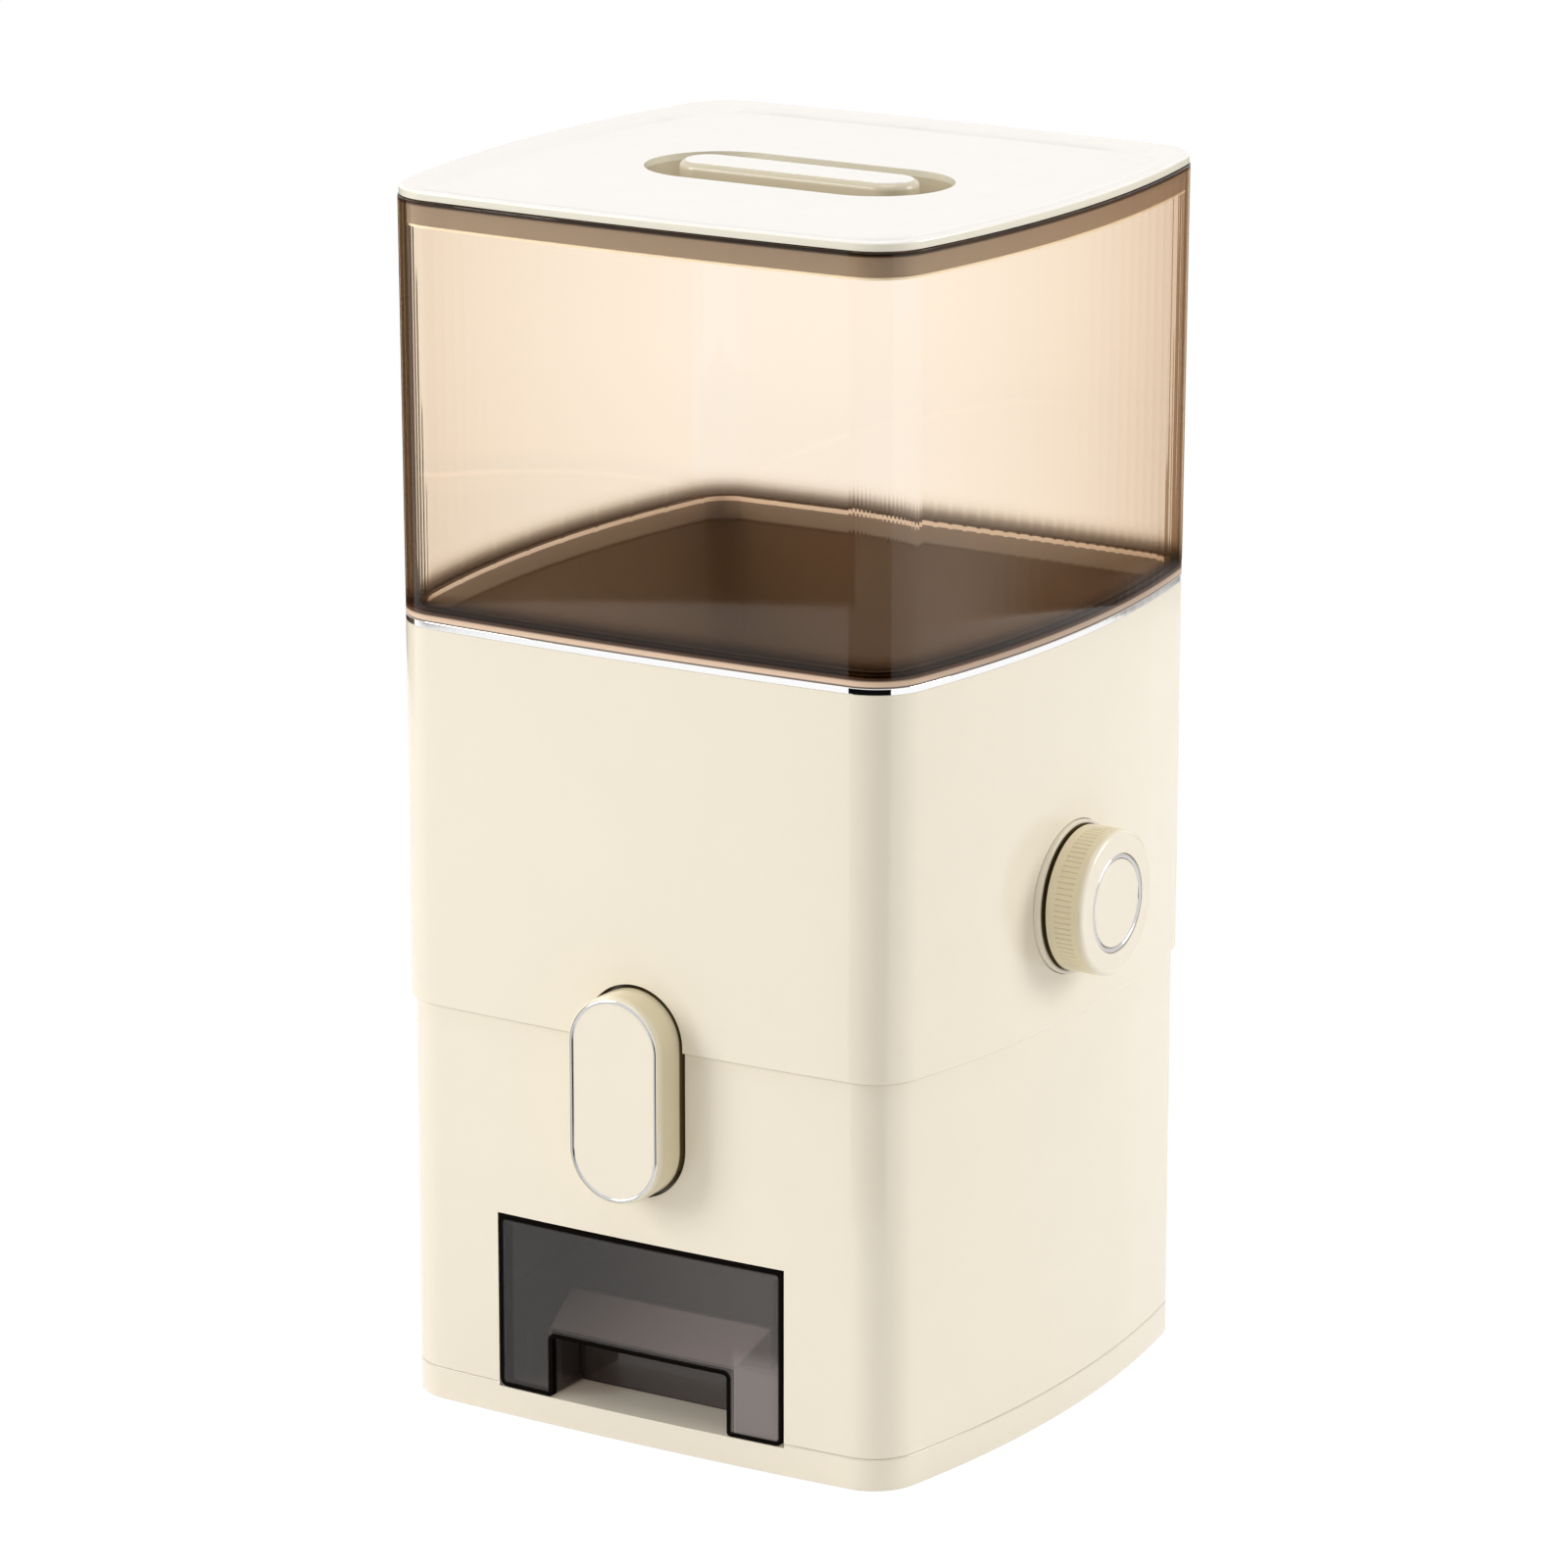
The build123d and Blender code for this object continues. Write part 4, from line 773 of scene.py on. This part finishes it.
# Seen more and more edge on, the wall holds back more light.
slant = wired(brown_clear.node_tree, "ShaderNodeLayerWeight", {"Blend": 0.5})["Facing"]
depth_tint = ramped(brown_clear, slant, [
    (0.25, grey(1.0)), (0.45, (0.97, 0.92, 0.87)), (0.68, (0.88, 0.76, 0.66)), (1.0, (0.35, 0.24, 0.16))])
painted_end_shades = mixed(brown_clear, 1.0, painted_foot_shade, painted_bin_rim_shade, "MULTIPLY")
wall_tint = mixed(brown_clear, 1.0, painted_end_shades, depth_tint, "MULTIPLY")
shader = brown_clear.node_tree.nodes["Principled BSDF"]
brown_clear.node_tree.links.new(wall_tint, shader.inputs["Base Color"])
# Painted light: a copper line in the foot stands for light led down the wall, with a
# painted dark band just above it.
painted_copper_line = by_height(brown_clear, bin_foot_z, [
    (0.0, (0.16, 0.115, 0.075)), (0.4, (0.22, 0.16, 0.11)), (0.8, (0.80, 0.60, 0.45)),
    (2.1, (0.74, 0.52, 0.37)), (2.8, (0.05, 0.035, 0.025)), (3.9, (0.03, 0.02, 0.015))])
painted_copper_reach = by_height(brown_clear, bin_foot_z, [(2.6, grey(1.0)), (3.9, grey(0.0))])
end_of_side = beyond(brown_clear, "X", plan_half_x - 22.0 * mm, plan_half_x - 1.0 * mm)
painted_copper_share = reckon(brown_clear, "SUBTRACT", 1.0, reckon(brown_clear, "MULTIPLY", end_of_side, 0.4))
veiled(brown_clear, painted_copper_line, reckon(brown_clear, "MULTIPLY", painted_copper_reach, painted_copper_share), rough=0.3)
placed("bin_wall", bin_mesh, brown_clear, body_of["storage_bin"], slot_of["storage_bin"], "storage_bin")
dressed("bin_seal", moulded("seal_rubber", (0.33, 0.25, 0.19), 0.5, peel=0.1))

# ---- Lid ----
# White gloss lid with a raised rim, which stands on the bin's edge. Its oval dish and grip
# are cream darkened with painted shade, and the gasket round its skirt shows through the
# bin as a tan band.
lid_white = (0.93, 0.895, 0.85)
lid_shell = moulded("lid_shell", lid_white, 0.22, coat=0.1)
lid_top_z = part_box("lid_panel")[1][2]
# Painted shade: the upright edge just below the rim is a darker cream.
painted_edge_band = before(lid_shell, "Z", lid_top_z - 1.1 * mm, lid_top_z - 0.5 * mm)
upright = reckon(lid_shell, "LESS_THAN", parted(lid_shell, "Normal")["Z"], 0.8)
overlaid(lid_shell, reckon(lid_shell, "MULTIPLY", painted_edge_band, upright), (0.80, 0.765, 0.64))
dressed("lid_panel", lid_shell)
dressed("lid_gasket", moulded("gasket_rubber", (0.225, 0.18, 0.135), 0.5, peel=0.1))
# Painted shade: the dish and the grip's sides are a darker cream than the housing.
dish_shaded_cream = moulded("dish_shaded_cream", (0.64, 0.57, 0.43), 0.22, coat=0.1)
dressed("grip_dish", dish_shaded_cream)
dressed("lid_grip", dish_shaded_cream)

# ---- Grip inlay ----
# White gloss strip with round ends, set into the top of the grip. It stands a little
# proud of it.
lid_gloss = moulded("lid_abs", lid_white, 0.22, coat=0.1)
inlay_length, inlay_width, inlay_rise, inlay_sink = 92.0 * mm, 17.5 * mm, 0.35 * mm, 0.4 * mm
grip_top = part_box("lid_grip")[1][2]
end_radius, end_steps = inlay_width / 2, 24
end_turns = [-pi / 2 + pi * step / end_steps for step in range(end_steps + 1)]
end_x = (inlay_length - inlay_width) / 2
right_end = [(end_x + end_radius * cos(turn), end_radius * sin(turn)) for turn in end_turns]
ring = right_end + [(-x, -y) for x, y in right_end]
inlay = bmesh.new()
foot = inlay.faces.new([inlay.verts.new((x, y, grip_top - inlay_sink)) for x, y in ring])
grown = bmesh.ops.extrude_face_region(inlay, geom=[foot])
top = [item for item in grown["geom"] if isinstance(item, bmesh.types.BMVert)]
bmesh.ops.translate(inlay, verts=top, vec=(0, 0, inlay_sink + inlay_rise))
upper = [edge for edge in inlay.edges if all(vertex in top for vertex in edge.verts)]
bmesh.ops.bevel(inlay, geom=upper, offset=inlay_rise * 0.9, segments=3, affect="EDGES", profile=0.5)
inlay_mesh = eased_normals(as_mesh(inlay, "grip_inlay"))
placed("grip_inlay", inlay_mesh, lid_gloss, "lid", slot_of["lid_grip"], "lid_grip")

# ---- Screws ----
# Zinc-plated pan-head screws with a cross recess, driven where the CAD screws stand.
# One mesh for each body; each modifier drives the screws of one length.
zinc = plated("zinc_steel", (0.62, 0.62, 0.60), 0.28, 0.12)
screw_sizes = {
    "Head Radius": 3.15 * mm, "Head Height": 1.75 * mm, "Core Radius": 1.15 * mm, "Length": 12.0 * mm,
    "Tip Length": 1.4 * mm, "Thread Rise": 0.3 * mm, "Thread Pitch": 1.4 * mm,
    "Recess Length": 3.4 * mm, "Recess Width": 0.75 * mm, "Recess Depth": 1.1 * mm,
}
screw_tree = bpy.data.node_groups.new("screw_set", "GeometryNodeTree")
sockets = screw_tree.interface
sockets.new_socket("Geometry", in_out="INPUT", socket_type="NodeSocketGeometry")
for label, size in screw_sizes.items():
    sockets.new_socket(label, in_out="INPUT", socket_type="NodeSocketFloat").default_value = size
sockets.new_socket("Material", in_out="INPUT", socket_type="NodeSocketMaterial")
sockets.new_socket("Geometry", in_out="OUTPUT", socket_type="NodeSocketGeometry")
given = screw_tree.nodes.new("NodeGroupInput").outputs


def step_of(kind, inputs, **settings):
    return wired(screw_tree, "GeometryNode" + kind, inputs, **settings)


def worked(operation, first, second):
    return wired(screw_tree, "ShaderNodeMath", {0: first, 1: second}, operation=operation)[0]


def raised(mesh, height):
    shift = wired(screw_tree, "ShaderNodeCombineXYZ", {"Z": height})[0]
    return step_of("Transform", {"Geometry": mesh, "Translation": shift})[0]


def tapered(sides, radius, height, end, reach, narrowing):
    """A cylinder that goes on beyond one end, narrowing."""
    drum = step_of("MeshCylinder", {"Vertices": sides, "Radius": radius, "Depth": height})
    longer = step_of("ExtrudeMesh", {"Mesh": drum["Mesh"], "Selection": drum[end], "Offset Scale": reach},
                     mode="FACES")
    tip = {"Geometry": longer["Mesh"], "Selection": longer["Top"], "Scale": narrowing}
    return step_of("ScaleElements", tip)[0]


drum_height = worked("MULTIPLY", given["Head Height"], 0.6)
crown_height = worked("MULTIPLY", given["Head Height"], 0.4)
head = tapered(24, given["Head Radius"], drum_height, "Top", crown_height, 0.82)
head = raised(head, worked("MULTIPLY", drum_height, 0.5))
slots = []
for wide, deep in (("Recess Length", "Recess Width"), ("Recess Width", "Recess Length")):
    size = wired(screw_tree, "ShaderNodeCombineXYZ", {
        "X": given[wide], "Y": given[deep], "Z": worked("MULTIPLY", given["Recess Depth"], 2.0)})[0]
    slots.append(raised(step_of("MeshCube", {"Size": size})["Mesh"], given["Head Height"]))
head = step_of("MeshBoolean", {"Mesh 1": head, "Mesh 2": slots}, operation="DIFFERENCE", solver="EXACT")[0]
core_length = worked("SUBTRACT", given["Length"], given["Tip Length"])
core = tapered(16, given["Core Radius"], core_length, "Bottom", given["Tip Length"], 0.25)
core = raised(core, worked("MULTIPLY", core_length, -0.5))
coil = step_of("CurveSpiral", {
    "Resolution": 12, "Rotations": worked("DIVIDE", core_length, given["Thread Pitch"]),
    "Start Radius": given["Core Radius"], "End Radius": given["Core Radius"], "Height": core_length})["Curve"]
ridge_size = {"Resolution": 3, "Radius": given["Thread Rise"]}
ridge = step_of("CurvePrimitiveCircle", ridge_size, mode="RADIUS")["Curve"]
thread = step_of("CurveToMesh", {"Curve": coil, "Profile Curve": ridge, "Fill Caps": True})[0]
thread = raised(thread, worked("MULTIPLY", core_length, -1.0))
one_screw = step_of("JoinGeometry", {"Geometry": [thread, core, head]})[0]
length_of = step_of("InputNamedAttribute", {"Name": "length"}, data_type="FLOAT")["Attribute"]
same = wired(screw_tree, "FunctionNodeCompare", {0: length_of, 1: given["Length"], "Epsilon": 0.1 * mm},
             data_type="FLOAT", operation="EQUAL")["Result"]
head_way = step_of("InputNamedAttribute", {"Name": "axis"}, data_type="FLOAT_VECTOR")["Attribute"]
facing = wired(screw_tree, "FunctionNodeAlignRotationToVector", {"Vector": head_way}, axis="Z")["Rotation"]
driven = step_of("InstanceOnPoints", {
    "Points": given["Geometry"], "Selection": same, "Instance": one_screw, "Rotation": facing})["Instances"]
joined = step_of("JoinGeometry", {"Geometry": [driven, given["Geometry"]]})[0]
real = step_of("RealizeInstances", {"Geometry": joined})[0]
made = step_of("SetMaterial", {"Geometry": real, "Material": given["Material"]})[0]
screw_tree.links.new(made, screw_tree.nodes.new("NodeGroupOutput").inputs["Geometry"])
input_of = {item.name: item.identifier for item in sockets.items_tree if item.in_out == "INPUT"}
cad_head_height, shank_clear = 1.8 * mm, 2.0 * mm


def lumps_of(node):
    """The points of each separate lump of a CAD node."""
    work = bmesh.new()
    work.from_mesh(merged_copy(node))
    reached, lumps = set(), []
    for first in work.verts:
        fresh, points = [first] if first not in reached else [], []
        reached.add(first)
        while fresh:
            vertex = fresh.pop()
            points.append(vertex.co.copy())
            near = [edge.other_vert(vertex) for edge in vertex.link_edges]
            fresh += [other for other in near if other not in reached]
            reached.update(near)
        if points:
            lumps.append(points)
    work.free()
    return lumps


def screw_place(points):
    """Seat, way of the head and shank length of a CAD screw, from its points."""
    low = Vector([min(point[i] for point in points) for i in range(3)])
    high = Vector([max(point[i] for point in points) for i in range(3)])
    middle, size = (low + high) / 2, high - low
    along = max(range(3), key=lambda i: size[i])
    sides = [i for i in range(3) if i != along]
    wide = [point[along] for point in points if max(abs(point[i] - middle[i]) for i in sides) > shank_clear]
    way = 1 if sum(wide) / len(wide) > middle[along] else -1
    seat, axis = middle.copy(), Vector((0, 0, 0))
    axis[along] = way
    seat[along] = (high if way > 0 else low)[along] - way * cad_head_height
    return seat, axis, round(size[along] - cad_head_height, 4)


screw_nodes = {}
for node in slot_of:
    if node.endswith(("_screws", "_screw")):
        screw_nodes.setdefault(body_of[node], []).append(node)
for body, nodes in screw_nodes.items():
    places = [screw_place(points) for node in nodes for points in lumps_of(node)]
    seats = bpy.data.meshes.new("seats")
    seats.from_pydata([seat for seat, _, _ in places], [], [])
    seats.attributes.new("axis", "FLOAT_VECTOR", "POINT")
    seats.attributes.new("length", "FLOAT", "POINT")
    for i, (_, axis, length) in enumerate(places):
        seats.attributes["axis"].data[i].vector = axis
        seats.attributes["length"].data[i].value = length
    holder = bpy.data.objects.new("seats", seats)
    scene.collection.objects.link(holder)
    for length in sorted({length for _, _, length in places}):
        drive = holder.modifiers.new("screws", "NODES")
        drive.node_group = screw_tree
        drive[input_of["Length"]] = length
        drive[input_of["Material"]] = zinc
    bpy.context.view_layer.update()
    finished = holder.evaluated_get(bpy.context.evaluated_depsgraph_get())
    screw_mesh = bpy.data.meshes.new_from_object(finished)
    holder.modifiers.clear()
    bpy.data.objects.remove(holder)
    work = bmesh.new()
    work.from_mesh(screw_mesh)
    bmesh.ops.delete(work, geom=[vertex for vertex in work.verts if not vertex.link_faces], context="VERTS")
    bmesh.ops.recalc_face_normals(work, faces=work.faces)
    work.to_mesh(screw_mesh)
    work.free()
    placed("screws_of_" + body, eased_normals(screw_mesh), zinc, body, slot_of[nodes[0]], *nodes)
